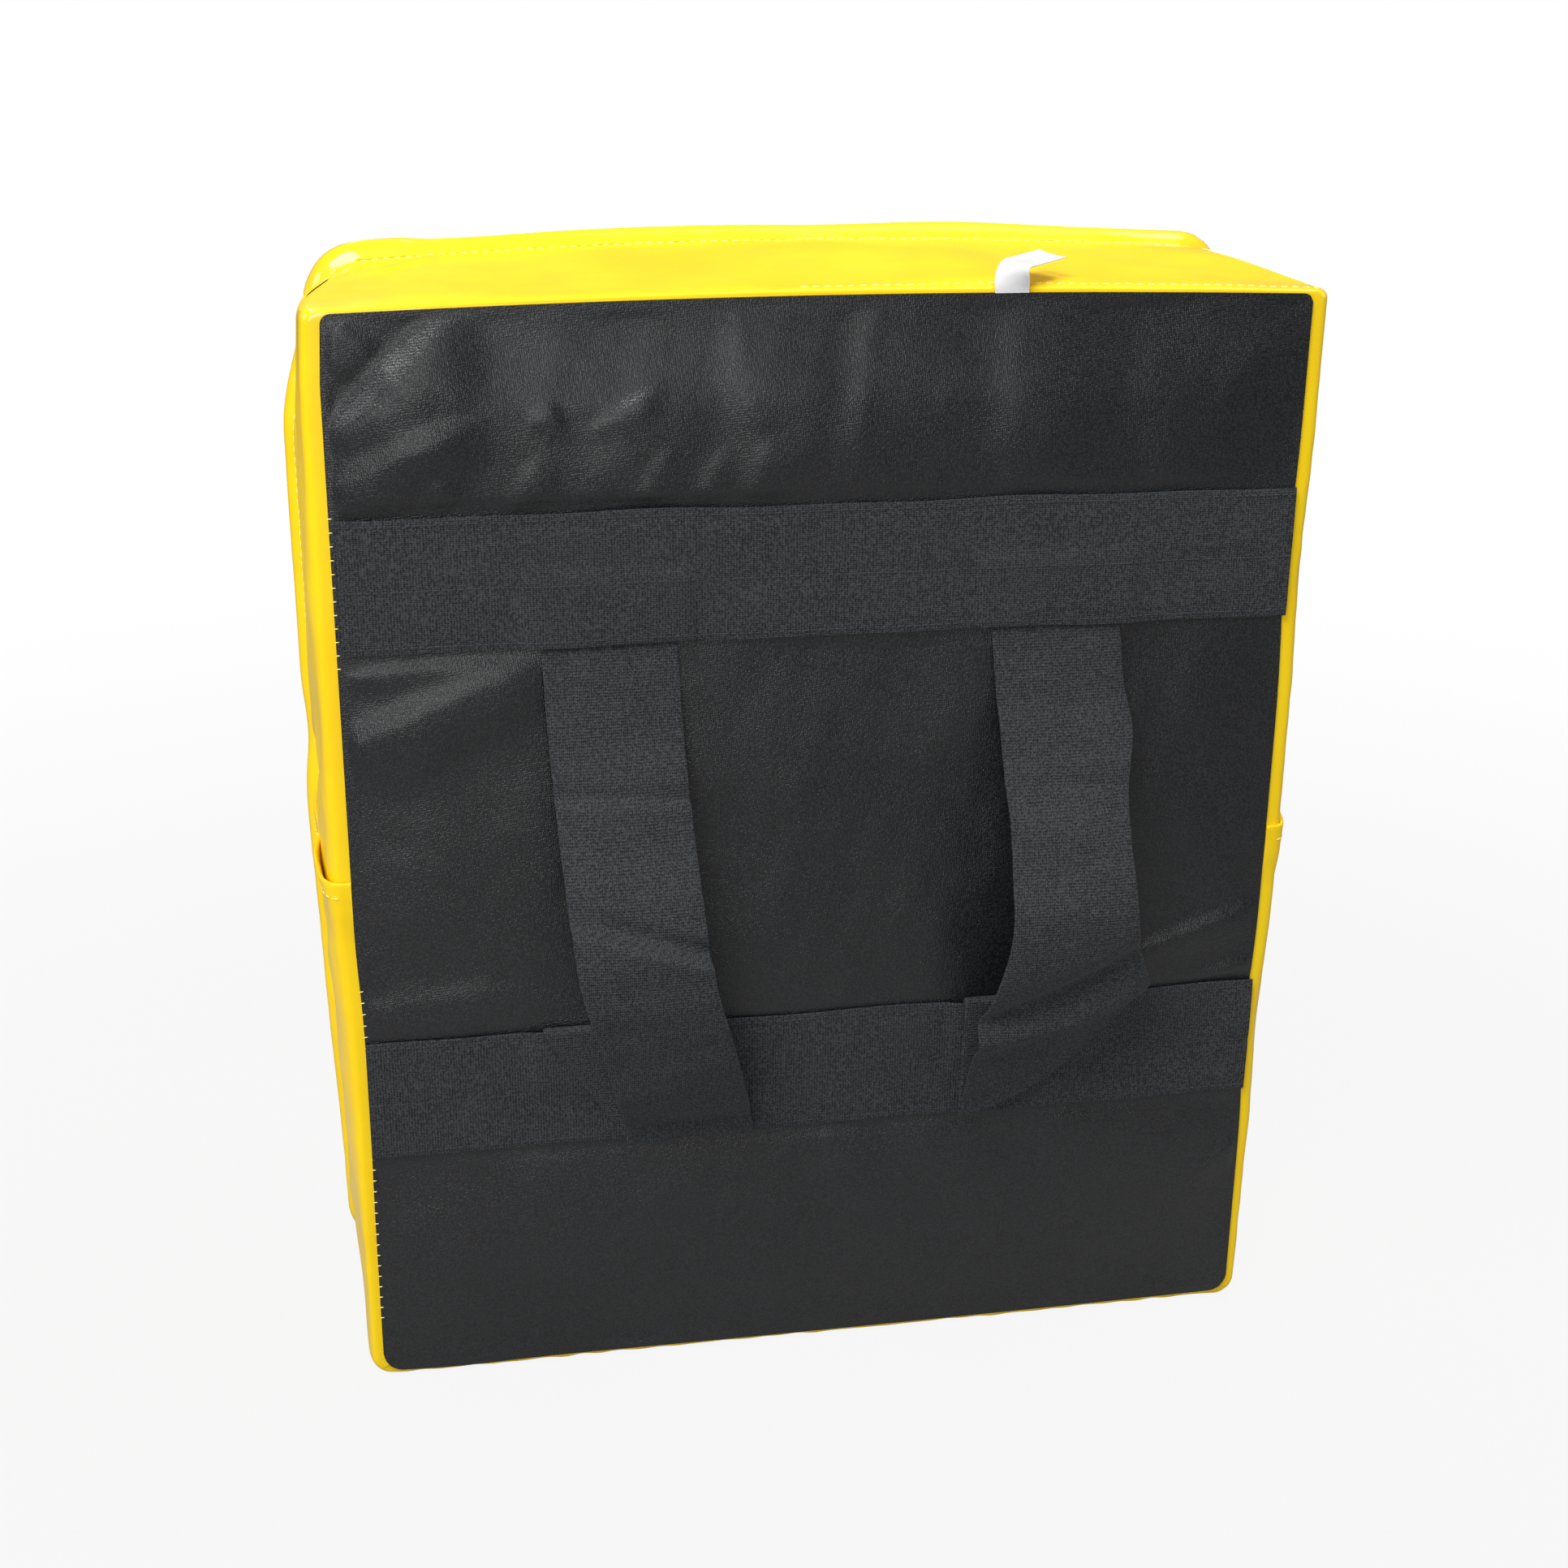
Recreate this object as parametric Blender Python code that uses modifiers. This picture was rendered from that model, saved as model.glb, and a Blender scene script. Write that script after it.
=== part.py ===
"""A tackle shield: a foam block in a sewn cover, with two webbing handles on its back.

Metres, +Z up. The shield stands on its bottom gusset at z = 0. Its back, with the handles, faces -Y and its
crowned strike face +Y. "Depth" below runs from the back panel's outer face towards the strike face, and
"stand-off" runs the other way, out of the back panel.
"""

import math

import bmesh
import bpy
from mathutils import Matrix, Vector

# The cover
PANEL_WIDTH = 0.500
PANEL_HEIGHT = 0.595
PANEL_LIFT = 0.006
SEAM_DEPTH = 0.150
CROWN = 0.036
SIDE_FLARE_UPPER = 0.0200
SIDE_FLARE_LOWER = 0.0135
TAPER_HEIGHT = 0.095
TOP_RISE = 0.004
TOP_ARCH = 0.007
PANEL_ARCH = 0.0042
BACK_TOP_CORNER_RADIUS = 0.005
BACK_BOTTOM_CORNER_RADIUS = 0.011
FRONT_CORNER_RADIUS = 0.028
BOTTOM_ROUND = 0.009
VINYL = 0.0010
SEAM_GAP = 0.0005
CLEARANCE = 0.0003
PUFF_POWER_SHARE = 0.20

# The lap at half height, where the lower side gussets cover the upper ones
LAP_HEIGHT = 0.294
LAP = 0.012
LAP_RAMP = 0.022
LEFT_LIP = 0.0050
RIGHT_LIP = 0.0025
LIP_POWER_SHARE = 0.55

# The foam
BOARD_DEPTH = 0.020
SEAM_ALLOWANCE = 0.006
FOAM_CORNER_RADIUS = 0.002
FACE_PAD_START = 0.142
FOAM_GAP = 0.0010

# The webbing
WEBBING_WIDTH = 0.070
WEBBING = 0.0018
UPPER_BAND_UP_PANEL = 0.4245
LOWER_BAND_UP_PANEL = 0.1370
TAB_LENGTH = 0.034
TAB_RAMP = 0.010

# The handles
HANDLE_STANDOFF = 0.055
LEFT_TOP_X = -0.1145
LEFT_BOTTOM_X = -0.1195
LEFT_LEAN = 0.039
LEFT_FOLD_UP_PANEL = 0.1365
LEFT_FOLD_HALF = WEBBING_WIDTH / 2
LEFT_FOLD_TILT = math.radians(2)
RIGHT_TOP_X = 0.1220
RIGHT_BOTTOM_X = 0.1150
RIGHT_LEAN = 0.005
RIGHT_FOLD_UP_PANEL = 0.1725
RIGHT_FOLD_HALF = 0.0570
RIGHT_FOLD_TILT = math.radians(34)

# The label
LABEL_X = 0.0902
LABEL_WIDTH = 0.0175
LABEL_LENGTH = 0.045
LABEL_THICKNESS = 0.0004

# The zip in the bottom gusset
ZIP_DEPTH = 0.075
ZIP_RECESS = 0.0050
ZIP_END_GAP = 0.0253
CHAIN_END_GAP = 0.009
ZIP_FADE = 0.022
SLOT_HALF_WIDTH = 0.0068
RECESS_FLAT = 0.020
RECESS_RAMP = 0.018
TAPE_WIDTH = 0.014
TAPE = 0.0006
CHAIN_WIDTH = 0.0060
CHAIN_THICKNESS = 0.0024
TOOTH_PITCH = 0.0040
TOOTH_DEPTH = 0.0005
SLIDER_PLATE = 0.0012
SLIDER_GAP = 0.0004
SLIDER_WIDTH = 0.0105
SLIDER_TAIL_SHARE = 0.86
SLIDER_LENGTH = 0.016
WEDGE_WIDTH = 0.0026
ARCH_LENGTH = 0.0064
ARCH_WIDTH = 0.0016
ARCH_BAR = 0.0008
ARCH_ROOM = 0.0020
PULL_LENGTH = 0.018
PULL_WIDTH = 0.0064
PULL_THICKNESS = 0.0011
PULL_BAR = 0.0012
PULL_HOLE_LENGTH = 0.0044
STOP_LENGTH = 0.004

# How finely the surfaces are divided
DEPTH_STEPS = 8
DEPTH_CROWDING = 3
CORNER_STEPS = 6
TOP_STEPS = 8
RAMP_STEPS = 3
GRIP_STEPS = 7
TURN_STEPS = 6
SLOPE_STEP = 0.0005

# Places along the sides, as shares of the way up to the lap and of the way from it to the top
LOWER_SIDE_SHARES = (0.30, 0.55, 0.78)
UPPER_SIDE_SHARES = (0.18, 0.42, 0.68, 0.84)

# Places along the fade at each end of the zip's recess
ZIP_END_SHARES = (0.0, 0.5, 1.0)

# The strike face from its seam to its middle: each ring's size against the seam, and its share of the crown
FACE_SIZE_SHARES = (1.0, 1.016, 1.021, 1.013, 0.990, 0.945, 0.850, 0.640, 0.300)
FACE_RISE_SHARES = (0.0, 0.14, 0.32, 0.50, 0.66, 0.79, 0.90, 0.97, 1.0)

# A grip from the upper band to its fold: how far down, how far out and how far it leans, each as a share.
# The leans have one more, for the fold.
GRIP_DROP_SHARES = (0.0, 0.12, 0.30, 0.45, 0.575, 0.68, 0.78, 0.88, 0.96)
GRIP_OUT_SHARES = (0.0, 0.10, 0.42, 0.80, 1.0, 0.95, 0.74, 0.42, 0.20)
LEFT_LEAN_SHARES = (0.0, 0.03, 0.10, 0.18, 0.28, 0.48, 0.68, 0.86, 0.96, 1.0)
RIGHT_LEAN_SHARES = (0.0, 0.40, 0.90, 1.0, 0.95, 0.90, 0.85, 0.80, 0.75, 0.75)
GRIP_SPLIT = 4

# The label from its seam to its tip: along its width's side, backwards and upwards, as shares of its length
LABEL_SIDE_SHARES = (0.0, 0.0, 0.05, 0.20, 0.41, 0.62)
LABEL_BACK_SHARES = (0.0, 0.01, 0.08, 0.17, 0.26, 0.36)
LABEL_UP_SHARES = (0.0, 0.18, 0.33, 0.39, 0.40, 0.39)
LABEL_TURN_SHARES = (0.0, 0.0, 0.12, 0.30, 0.48, 0.58)

BACK_SEAM = VINYL + SEAM_GAP
BACK_Y = (HANDLE_STANDOFF - SEAM_DEPTH - CROWN) / 2
PANEL_TOP = PANEL_LIFT + PANEL_HEIGHT
UPPER_BAND_BOTTOM = PANEL_LIFT + UPPER_BAND_UP_PANEL
LOWER_BAND_BOTTOM = PANEL_LIFT + LOWER_BAND_UP_PANEL
TAPE_HEIGHT = ZIP_RECESS + VINYL + CLEARANCE + TAPE / 2
BAND_STANDOFF = CLEARANCE + WEBBING / 2
TAB_LIFT = WEBBING + CLEARANCE
BAND_MIDDLE = BAND_STANDOFF + TAB_LIFT
RETURN_STANDOFF = BAND_MIDDLE + WEBBING + CLEARANCE
FOLD_STANDOFF = RETURN_STANDOFF + 2 * WEBBING + CLEARANCE
LOWER_BAND_TOP = LOWER_BAND_BOTTOM + WEBBING_WIDTH
UPPER_TAB_TOP = UPPER_BAND_BOTTOM + TAB_LENGTH
LOWER_TAB_BOTTOM = LOWER_BAND_TOP - TAB_LENGTH


def start_scene():
    """Removes what the scene holds and makes a collection for the part and one for its cutters."""
    for old in list(bpy.data.objects):
        bpy.data.objects.remove(old, do_unlink=True)
    made = []
    for name in ("tackle_shield", "cutters"):
        collection = bpy.data.collections.new(name)
        bpy.context.scene.collection.children.link(collection)
        made.append(collection)
    return made


def make_material(name, colour, roughness, metallic=0.0):
    made = bpy.data.materials.new(name)
    made.use_nodes = True
    shader = made.node_tree.nodes["Principled BSDF"]
    shader.inputs["Base Color"].default_value = (*colour, 1.0)
    shader.inputs["Roughness"].default_value = roughness
    shader.inputs["Metallic"].default_value = metallic
    return made


def add_object(name, mesh, origin=Vector((0, 0, 0)), parent=None):
    """Puts a mesh, given in world places, into the scene with its origin at a chosen point."""
    made = bpy.data.objects.new(name, mesh)
    for vertex in mesh.vertices:
        vertex.co -= origin
    mesh.shade_smooth()
    PART.objects.link(made)
    made.location = origin
    if parent is not None:
        made.parent = parent
        made.location = origin - parent_place(parent)
    return made


def parent_place(parent):
    place = parent.location.copy()
    if parent.parent is not None:
        place += parent_place(parent.parent)
    return place


def pivot(name, place, parent=None):
    """An empty on a joint's axis, which carries the pieces that turn or slide there."""
    made = bpy.data.objects.new(name, None)
    PART.objects.link(made)
    made.location = place
    if parent is not None:
        made.parent = parent
        made.location = place - parent_place(parent)
    return made


def sheet(name, rows, thickness, material, offset=-1.0, parent=None):
    """An open surface through rows of points, given its thickness by Solidify.

    With offset -1 the points lie on the outer face, and with 0 in the middle.
    """
    mesh = bpy.data.meshes.new(name)
    work = bmesh.new()
    grid = [[work.verts.new(point) for point in row] for row in rows]
    for near, far in zip(grid, grid[1:]):
        for column in range(len(near) - 1):
            work.faces.new((near[column], near[column + 1], far[column + 1], far[column]))
    work.to_mesh(mesh)
    work.free()
    mesh.materials.append(material)
    made = add_object(name, mesh, rows[0][0].copy() if parent is None else parent_place(parent), parent)
    shell = made.modifiers.new("thickness", "SOLIDIFY")
    shell.thickness = thickness
    shell.offset = offset
    shell.use_even_offset = True
    return made


def loft(name, rings, material, closed_start=True, closed_end=True, parent=None):
    """A surface through closed rings, with its ends filled."""
    mesh = bpy.data.meshes.new(name)
    work = bmesh.new()
    loops = [[work.verts.new(point) for point in ring] for ring in rings]
    for near, far in zip(loops, loops[1:]):
        for column in range(len(near)):
            following = (column + 1) % len(near)
            work.faces.new((near[column], near[following], far[following], far[column]))
    if closed_start:
        work.faces.new(list(reversed(loops[0])))
    if closed_end:
        work.faces.new(loops[-1])
    if closed_start and closed_end:
        bmesh.ops.recalc_face_normals(work, faces=work.faces)
    work.to_mesh(mesh)
    work.free()
    mesh.materials.append(material)
    return add_object(name, mesh, rings[0][0].copy() if parent is None else parent_place(parent), parent)


def box(name, low, high, material, bevel=0.0, parent=None):
    """A box between two corners, with rounded edges where bevel is given."""
    mesh = bpy.data.meshes.new(name)
    work = bmesh.new()
    bmesh.ops.create_cube(work, size=1.0)
    size = high - low
    for vertex in work.verts:
        vertex.co = (low + high) / 2 + Matrix.Diagonal(size) @ vertex.co
    work.to_mesh(mesh)
    work.free()
    mesh.materials.append(material)
    made = add_object(name, mesh, (low + high) / 2 if parent is None else parent_place(parent), parent)
    if bevel:
        rounding = made.modifiers.new("rounding", "BEVEL")
        rounding.width = bevel
        rounding.segments = 2
    return made


def smooth_step(share):
    share = min(1.0, max(0.0, share))
    return share * share * (3 - 2 * share)


def seam_share(depth, reach):
    """How far a depth is from the back seam, as a share of a reach."""
    return min(1.0, max(0.0, depth - BACK_SEAM) / reach)


def puff(depth):
    """How far the stuffed gusset has swelled at a depth, from 0 at the back seam to 1 at the front one."""
    return seam_share(depth, SEAM_DEPTH - BACK_SEAM) ** PUFF_POWER_SHARE


def half_width(height, depth):
    """The cover swells more above the lap, and its front seam narrows to the panel's width at the top."""
    rise = smooth_step(height / LAP_HEIGHT)
    narrowing = 1 - smooth_step((PANEL_TOP - height) / TAPER_HEIGHT)
    taper = 1 - narrowing * seam_share(depth, SEAM_DEPTH - BACK_SEAM)
    flare = SIDE_FLARE_LOWER + (SIDE_FLARE_UPPER - SIDE_FLARE_LOWER) * rise
    return PANEL_WIDTH / 2 + flare * taper * puff(depth)


def top_edge(depth):
    return PANEL_TOP + TOP_RISE * puff(depth)


def top_arch(depth, place):
    """How far the top stands above its corners at a place from -1 to 1 across it."""
    return (PANEL_ARCH + (TOP_ARCH - PANEL_ARCH) * puff(depth)) * (1 - place * place)


def bottom_edge(depth):
    return PANEL_LIFT * (1 - seam_share(depth, BOTTOM_ROUND) ** PUFF_POWER_SHARE)


def corner_radius(depth, top):
    """The corners are tighter at the back than at the front."""
    back = BACK_TOP_CORNER_RADIUS if top > 0 else BACK_BOTTOM_CORNER_RADIUS
    return back + (FRONT_CORNER_RADIUS - back) * depth / SEAM_DEPTH


def bottom_reach(depth):
    """Half the length of the straight stretch of the bottom at a depth."""
    radius = corner_radius(depth, -1)
    return half_width(bottom_edge(depth) + radius, depth) - radius


def zip_half_length():
    """The zip ends a gap, and the fade of its recess, short of the corners."""
    return bottom_reach(ZIP_DEPTH) - ZIP_END_GAP - ZIP_FADE


def chain_half_length():
    return zip_half_length() - CHAIN_END_GAP


def zip_weight(x):
    """1 along the zip, falling to 0 past its ends."""
    return 1 - smooth_step((abs(x) - zip_half_length()) / ZIP_FADE)


def zip_recess(x, depth):
    """How far the bottom gusset is drawn up beside the zip."""
    past_flat = abs(depth - ZIP_DEPTH) - RECESS_FLAT
    return ZIP_RECESS * zip_weight(x) * (1 - smooth_step(past_flat / RECESS_RAMP))


def corner_angle(right, top, share):
    """The direction of a place on a corner, share 0 to 1 clockwise as the back is seen."""
    quarters = {(-1, -1): 3, (-1, 1): 2, (1, 1): 1, (1, -1): 0}
    return (quarters[right, top] - share) * math.pi / 2


def cover_point(stop, depth):
    """The cover's outer face at a stop along its edge and a depth."""
    kind = stop[0]
    if kind == "side":
        right, height = stop[1:]
        return Vector((right * half_width(height, depth), BACK_Y + depth, height))
    if kind == "corner":
        right, top, share = stop[1:]
        radius = corner_radius(depth, top)
        height = top_edge(depth) - radius if top > 0 else bottom_edge(depth) + radius
        angle = corner_angle(right, top, share)
        x = right * (half_width(height, depth) - radius) + radius * math.cos(angle)
        return Vector((x, BACK_Y + depth, height + radius * math.sin(angle)))
    place = 2 * stop[1] - 1
    if kind == "bottom":
        x = -place * bottom_reach(depth)
        return Vector((x, BACK_Y + depth, bottom_edge(depth) + zip_recess(x, depth)))
    edge = top_edge(depth)
    radius = corner_radius(depth, 1)
    x = place * (half_width(edge - radius, depth) - radius)
    return Vector((x, BACK_Y + depth, edge + top_arch(depth, place)))


def corner_stops(right, top, first_share=0.0, last_share=1.0):
    count = round(CORNER_STEPS * (last_share - first_share))
    return [
        ("corner", right, top, first_share + (last_share - first_share) * step / count)
        for step in range(count + 1)
    ]


def lower_side_heights():
    return [share * LAP_HEIGHT for share in LOWER_SIDE_SHARES]


def upper_side_heights():
    return [LAP_HEIGHT + share * (PANEL_HEIGHT - LAP_HEIGHT) for share in UPPER_SIDE_SHARES]


def run_stops(kind, count=TOP_STEPS):
    return [(kind, step / count) for step in range(1, count)]


def bottom_stops():
    """Stops along the bottom, right to left: close together at the zip's ends, and one in the middle."""
    reach = bottom_reach(ZIP_DEPTH)
    ends = [zip_half_length() + ZIP_FADE * share for share in ZIP_END_SHARES]
    places = ends[::-1] + [0.0] + [-x for x in ends]
    return [("bottom", (1 - x / reach) / 2) for x in places]


def whole_loop():
    """Every stop round the cover, clockwise from the bottom left corner."""
    heights = lower_side_heights() + [LAP_HEIGHT] + upper_side_heights()
    left = [("side", -1, height) for height in heights]
    right = [("side", 1, height) for height in reversed(heights)]
    return (
        corner_stops(-1, -1) + left + corner_stops(-1, 1) + run_stops("top")
        + corner_stops(1, 1) + right + corner_stops(1, -1) + bottom_stops()
    )


def gusset_depths():
    """Depths between the seams, close together near the back, where the gusset turns most."""
    shares = [(step / DEPTH_STEPS) ** DEPTH_CROWDING for step in range(DEPTH_STEPS + 1)]
    return [BACK_SEAM + share * (SEAM_DEPTH - BACK_SEAM) for share in shares]


def with_end_gaps(row):
    """A row whose ends are drawn in by half the gap between two pieces."""
    row = list(row)
    row[0] = row[0] + (row[1] - row[0]).normalized() * SEAM_GAP / 2
    row[-1] = row[-1] + (row[-2] - row[-1]).normalized() * SEAM_GAP / 2
    return row


def with_seam_gaps(rows):
    """Rows whose first and last are drawn in by half the gap at a seam."""
    columns = [with_end_gaps(column) for column in zip(*rows)]
    return [list(row) for row in zip(*columns)]


def outward(stop, depth):
    """The cover's outward direction at a stop on a side, found from its slope."""
    ahead = cover_point(stop, depth + SLOPE_STEP) - cover_point(stop, depth)
    right = stop[1]
    return Vector((right * ahead.y, -right * ahead.x, 0)).normalized()


def gusset(name, stops, depths, lifts=None):
    """A strip of the cover between the back and the front seam."""
    rows = []
    for depth in depths:
        row = [cover_point(stop, depth) for stop in stops]
        if lifts:
            for column, lift in lifts.items():
                row[column] = row[column] + outward(stops[column], depth) * lift(depth)
        rows.append(with_end_gaps(row))
    return sheet(name, with_seam_gaps(rows), VINYL, YELLOW)


def make_side_gussets(right, side, lip):
    """The upper strip, and the lower one whose edge laps over it and gapes between its seams."""
    lying = VINYL + 2 * CLEARANCE

    def gape(depth):
        return lip * math.sin(math.pi * (depth / SEAM_DEPTH) ** LIP_POWER_SHARE)

    upper = [("side", right, height) for height in [LAP_HEIGHT] + upper_side_heights()]
    lower_heights = lower_side_heights() + [
        LAP_HEIGHT - LAP_RAMP,
        LAP_HEIGHT - CLEARANCE,
        LAP_HEIGHT + LAP / 2,
        LAP_HEIGHT + LAP,
    ]
    lower = [("side", right, height) for height in lower_heights]
    last = len(lower) - 1
    if right < 0:
        upper_stops = upper + corner_stops(-1, 1, 0.0, 0.5)
        lower_stops = corner_stops(-1, -1, 0.5, 1.0) + lower
        top_column = len(lower_stops) - 1
        towards_bottom = -1
    else:
        upper_stops = corner_stops(1, 1, 0.5, 1.0) + upper[::-1]
        lower_stops = lower[::-1] + corner_stops(1, -1, 0.0, 0.5)
        top_column = 0
        towards_bottom = 1
    lifts = {
        top_column: lambda depth: lying + gape(depth),
        top_column + towards_bottom: lambda depth: lying + gape(depth) / 2,
        top_column + 2 * towards_bottom: lambda depth: lying,
    }
    gusset(f"{side}_upper_gusset", upper_stops, gusset_depths())
    gusset(f"{side}_lower_gusset", lower_stops, gusset_depths(), lifts)


def make_top_gusset():
    stops = corner_stops(-1, 1, 0.5, 1.0) + run_stops("top") + corner_stops(1, 1, 0.0, 0.5)
    gusset("top_gusset", stops, gusset_depths())


def slot_edge(x, direction):
    """The depth of a bottom strip's edge beside the zip; past the zip the two strips meet."""
    return ZIP_DEPTH + direction * (SEAM_GAP / 2 + SLOT_HALF_WIDTH * zip_weight(x))


def make_bottom_gussets():
    """Two strips that meet at the corners and leave the zip's slot between them."""
    stops = corner_stops(1, -1, 0.5, 1.0) + bottom_stops() + corner_stops(-1, -1, 0.0, 0.5)
    steps = range(RAMP_STEPS + 1)
    ramp = [RECESS_FLAT + RECESS_RAMP * step / RAMP_STEPS for step in steps]
    rounding = [BACK_SEAM + BOTTOM_ROUND * (step / RAMP_STEPS) ** 2 for step in steps]
    for name, direction in (("bottom_rear_gusset", -1), ("bottom_front_gusset", 1)):
        rows = []
        fixed = [ZIP_DEPTH + direction * reach_out for reach_out in ramp]
        if direction < 0:
            depths = rounding + fixed[::-1] + [None]
        else:
            depths = [None] + fixed + [SEAM_DEPTH - SEAM_GAP / 2]
        for depth in depths:
            row = []
            for stop in stops:
                place = cover_point(stop, ZIP_DEPTH if depth is None else depth)
                if depth is None:
                    place = cover_point(stop, slot_edge(place.x, direction))
                row.append(place)
            rows.append(with_end_gaps(row))
        sheet(name, with_seam_gaps(rows), VINYL, YELLOW)


def face_ring(size_share, rise_share, inset=0.0):
    """One ring of the strike face, seen as the seam's outline made larger or smaller."""
    middle = Vector((0, 0, PANEL_TOP / 2))
    rise = rise_share * (CROWN - inset)
    ring = []
    for stop in whole_loop():
        seam = cover_point(stop, SEAM_DEPTH) - Vector((0, BACK_Y + SEAM_DEPTH, 0))
        arm = (seam - middle) * size_share
        arm -= arm.normalized() * inset * math.sqrt(1 - rise_share * rise_share)
        place = middle + arm
        place.z = max(place.z, inset)
        ring.append(Vector((place.x, BACK_Y + SEAM_DEPTH + rise, place.z)))
    return ring


def make_front_panel():
    """The crowned strike face, which rolls out past its seam before it turns over."""
    rings = [face_ring(size, rise) for size, rise in zip(FACE_SIZE_SHARES, FACE_RISE_SHARES)]
    for point in rings[0]:
        point.y += SEAM_GAP / 2
    mesh_object = loft("front_panel", rings, YELLOW, closed_start=False)
    shell = mesh_object.modifiers.new("thickness", "SOLIDIFY")
    shell.thickness = VINYL
    shell.offset = -1.0
    shell.use_even_offset = True


def edge_direction(stop):
    """Straight out of the cover at a stop, seen along the depth."""
    if stop[0] == "side":
        return Vector((stop[1], 0, 0))
    if stop[0] == "corner":
        angle = corner_angle(*stop[1:])
        return Vector((math.cos(angle), 0, math.sin(angle)))
    return Vector((0, 0, 1 if stop[0] == "top" else -1))


def drawn_in(stop, depth, inset):
    """A place on the cover moved straight inwards, where a tight corner keeps a little roundness."""
    place = cover_point(stop, depth)
    if stop[0] != "corner":
        return place - edge_direction(stop) * inset
    right, top = stop[1:3]
    radius = corner_radius(depth, top)
    kept = max(radius - inset, FOAM_CORNER_RADIUS)
    shift = radius - inset - kept
    return place - edge_direction(stop) * (radius - kept) + Vector((right * shift, 0, top * shift))


def foam_ring(depth, groove=0.0):
    """The foam's outline at a depth, inside the cover and clear of its back seam's allowances."""
    inset = VINYL + FOAM_GAP
    allowance = SEAM_ALLOWANCE * max(0.0, 1 - depth / BOARD_DEPTH)
    ring = []
    for stop in whole_loop():
        place = drawn_in(stop, depth, inset + allowance)
        lowest = inset + (groove if stop[0] == "bottom" else 0.0)
        place.z = max(place.z, lowest)
        ring.append(place)
    return ring


def make_foam():
    """A firm board behind the back, the core with its groove over the zip, and the softer face pad."""
    back = VINYL + FOAM_GAP
    board = [back, BOTTOM_ROUND / 2, BOTTOM_ROUND, BOARD_DEPTH]
    loft("foam_back_board", [foam_ring(depth) for depth in board], FOAM)
    chain_room = TAPE_HEIGHT + CHAIN_THICKNESS / 2 + SLIDER_GAP + SLIDER_PLATE + FOAM_GAP - back
    flat = RECESS_FLAT + FOAM_GAP
    far = RECESS_FLAT + RECESS_RAMP
    core = [
        (BOARD_DEPTH + CLEARANCE, 0.0),
        (ZIP_DEPTH - far, 0.0),
        (ZIP_DEPTH - (flat + far) / 2, ZIP_RECESS),
        (ZIP_DEPTH - flat, chain_room),
        (ZIP_DEPTH + flat, chain_room),
        (ZIP_DEPTH + (flat + far) / 2, ZIP_RECESS),
        (ZIP_DEPTH + far, 0.0),
        (FACE_PAD_START, 0.0),
    ]
    loft("foam_core", [foam_ring(depth, groove) for depth, groove in core], FOAM)
    inset = VINYL + 2 * FOAM_GAP
    rings = [foam_ring(FACE_PAD_START + CLEARANCE), foam_ring(SEAM_DEPTH)]
    rings += [
        face_ring(size, rise, inset)
        for size, rise in list(zip(FACE_SIZE_SHARES, FACE_RISE_SHARES))[2:]
    ]
    loft("foam_face_pad", rings, SOFT_FOAM)


def make_back_panel():
    """The black panel: a flat outline with rounded corners, cut to the cover's back edge."""
    ring = [cover_point(stop, 0.0) for stop in whole_loop()]
    middle = Vector((0, BACK_Y, PANEL_TOP / 2))
    for point in ring:
        point -= (point - middle).normalized() * SEAM_GAP
    outline = [ring, [point + Vector((0, VINYL, 0)) for point in ring]]
    loft("back_panel", outline, BLACK_VINYL)


def band(name, bottom, tab_bottom, tab_top, tab_places):
    """Webbing sewn across the back panel, raised where a handle's end lies under it."""
    reach = PANEL_WIDTH / 2 - SEAM_GAP
    slack = TAB_RAMP / 4
    places = [-reach, 0.0, reach]
    for x in tab_places:
        half = WEBBING_WIDTH / 2 + slack
        places += [x - half - TAB_RAMP, x - half, x + half, x + half + TAB_RAMP]
    top = bottom + WEBBING_WIDTH
    heights = sorted({bottom, top, tab_bottom - TAB_RAMP, tab_bottom, tab_top, tab_top + TAB_RAMP})
    heights = [height for height in heights if bottom <= height <= top]
    rows = []
    for height in reversed(heights):
        row = []
        for x in sorted(places):
            near = min(abs(x - tab_x) for tab_x in tab_places) - WEBBING_WIDTH / 2 - slack
            beside = 1 - smooth_step(near / TAB_RAMP)
            beyond = max(tab_bottom - height, height - tab_top, 0.0)
            lift = TAB_LIFT * beside * (1 - smooth_step(beyond / TAB_RAMP))
            row.append(Vector((x, BACK_Y - BAND_STANDOFF - lift, height)))
        rows.append(row)
    sheet(name, rows, WEBBING, WEBBING_BLACK, offset=0.0)


def strap_row(centre, half, tilt=0.0):
    """The two ends and the middle of a strap's cross line."""
    across = Vector((math.cos(tilt), 0, math.sin(tilt))) * half
    return [centre - across, centre, centre + across]


def between(values, place):
    """A smooth curve through evenly numbered values, read at a place among them."""
    index = min(int(place), len(values) - 2)
    share = place - index
    before = values[max(index - 1, 0)]
    after = values[min(index + 2, len(values) - 1)]
    first, second = values[index], values[index + 1]
    rise_first = (second - before) / 2
    rise_second = (after - first) / 2
    square = share * share
    cube = square * share
    return (
        (2 * cube - 3 * square + 1) * first
        + (cube - 2 * square + share) * rise_first
        + (3 * square - 2 * cube) * second
        + (cube - square) * rise_second
    )


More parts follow.
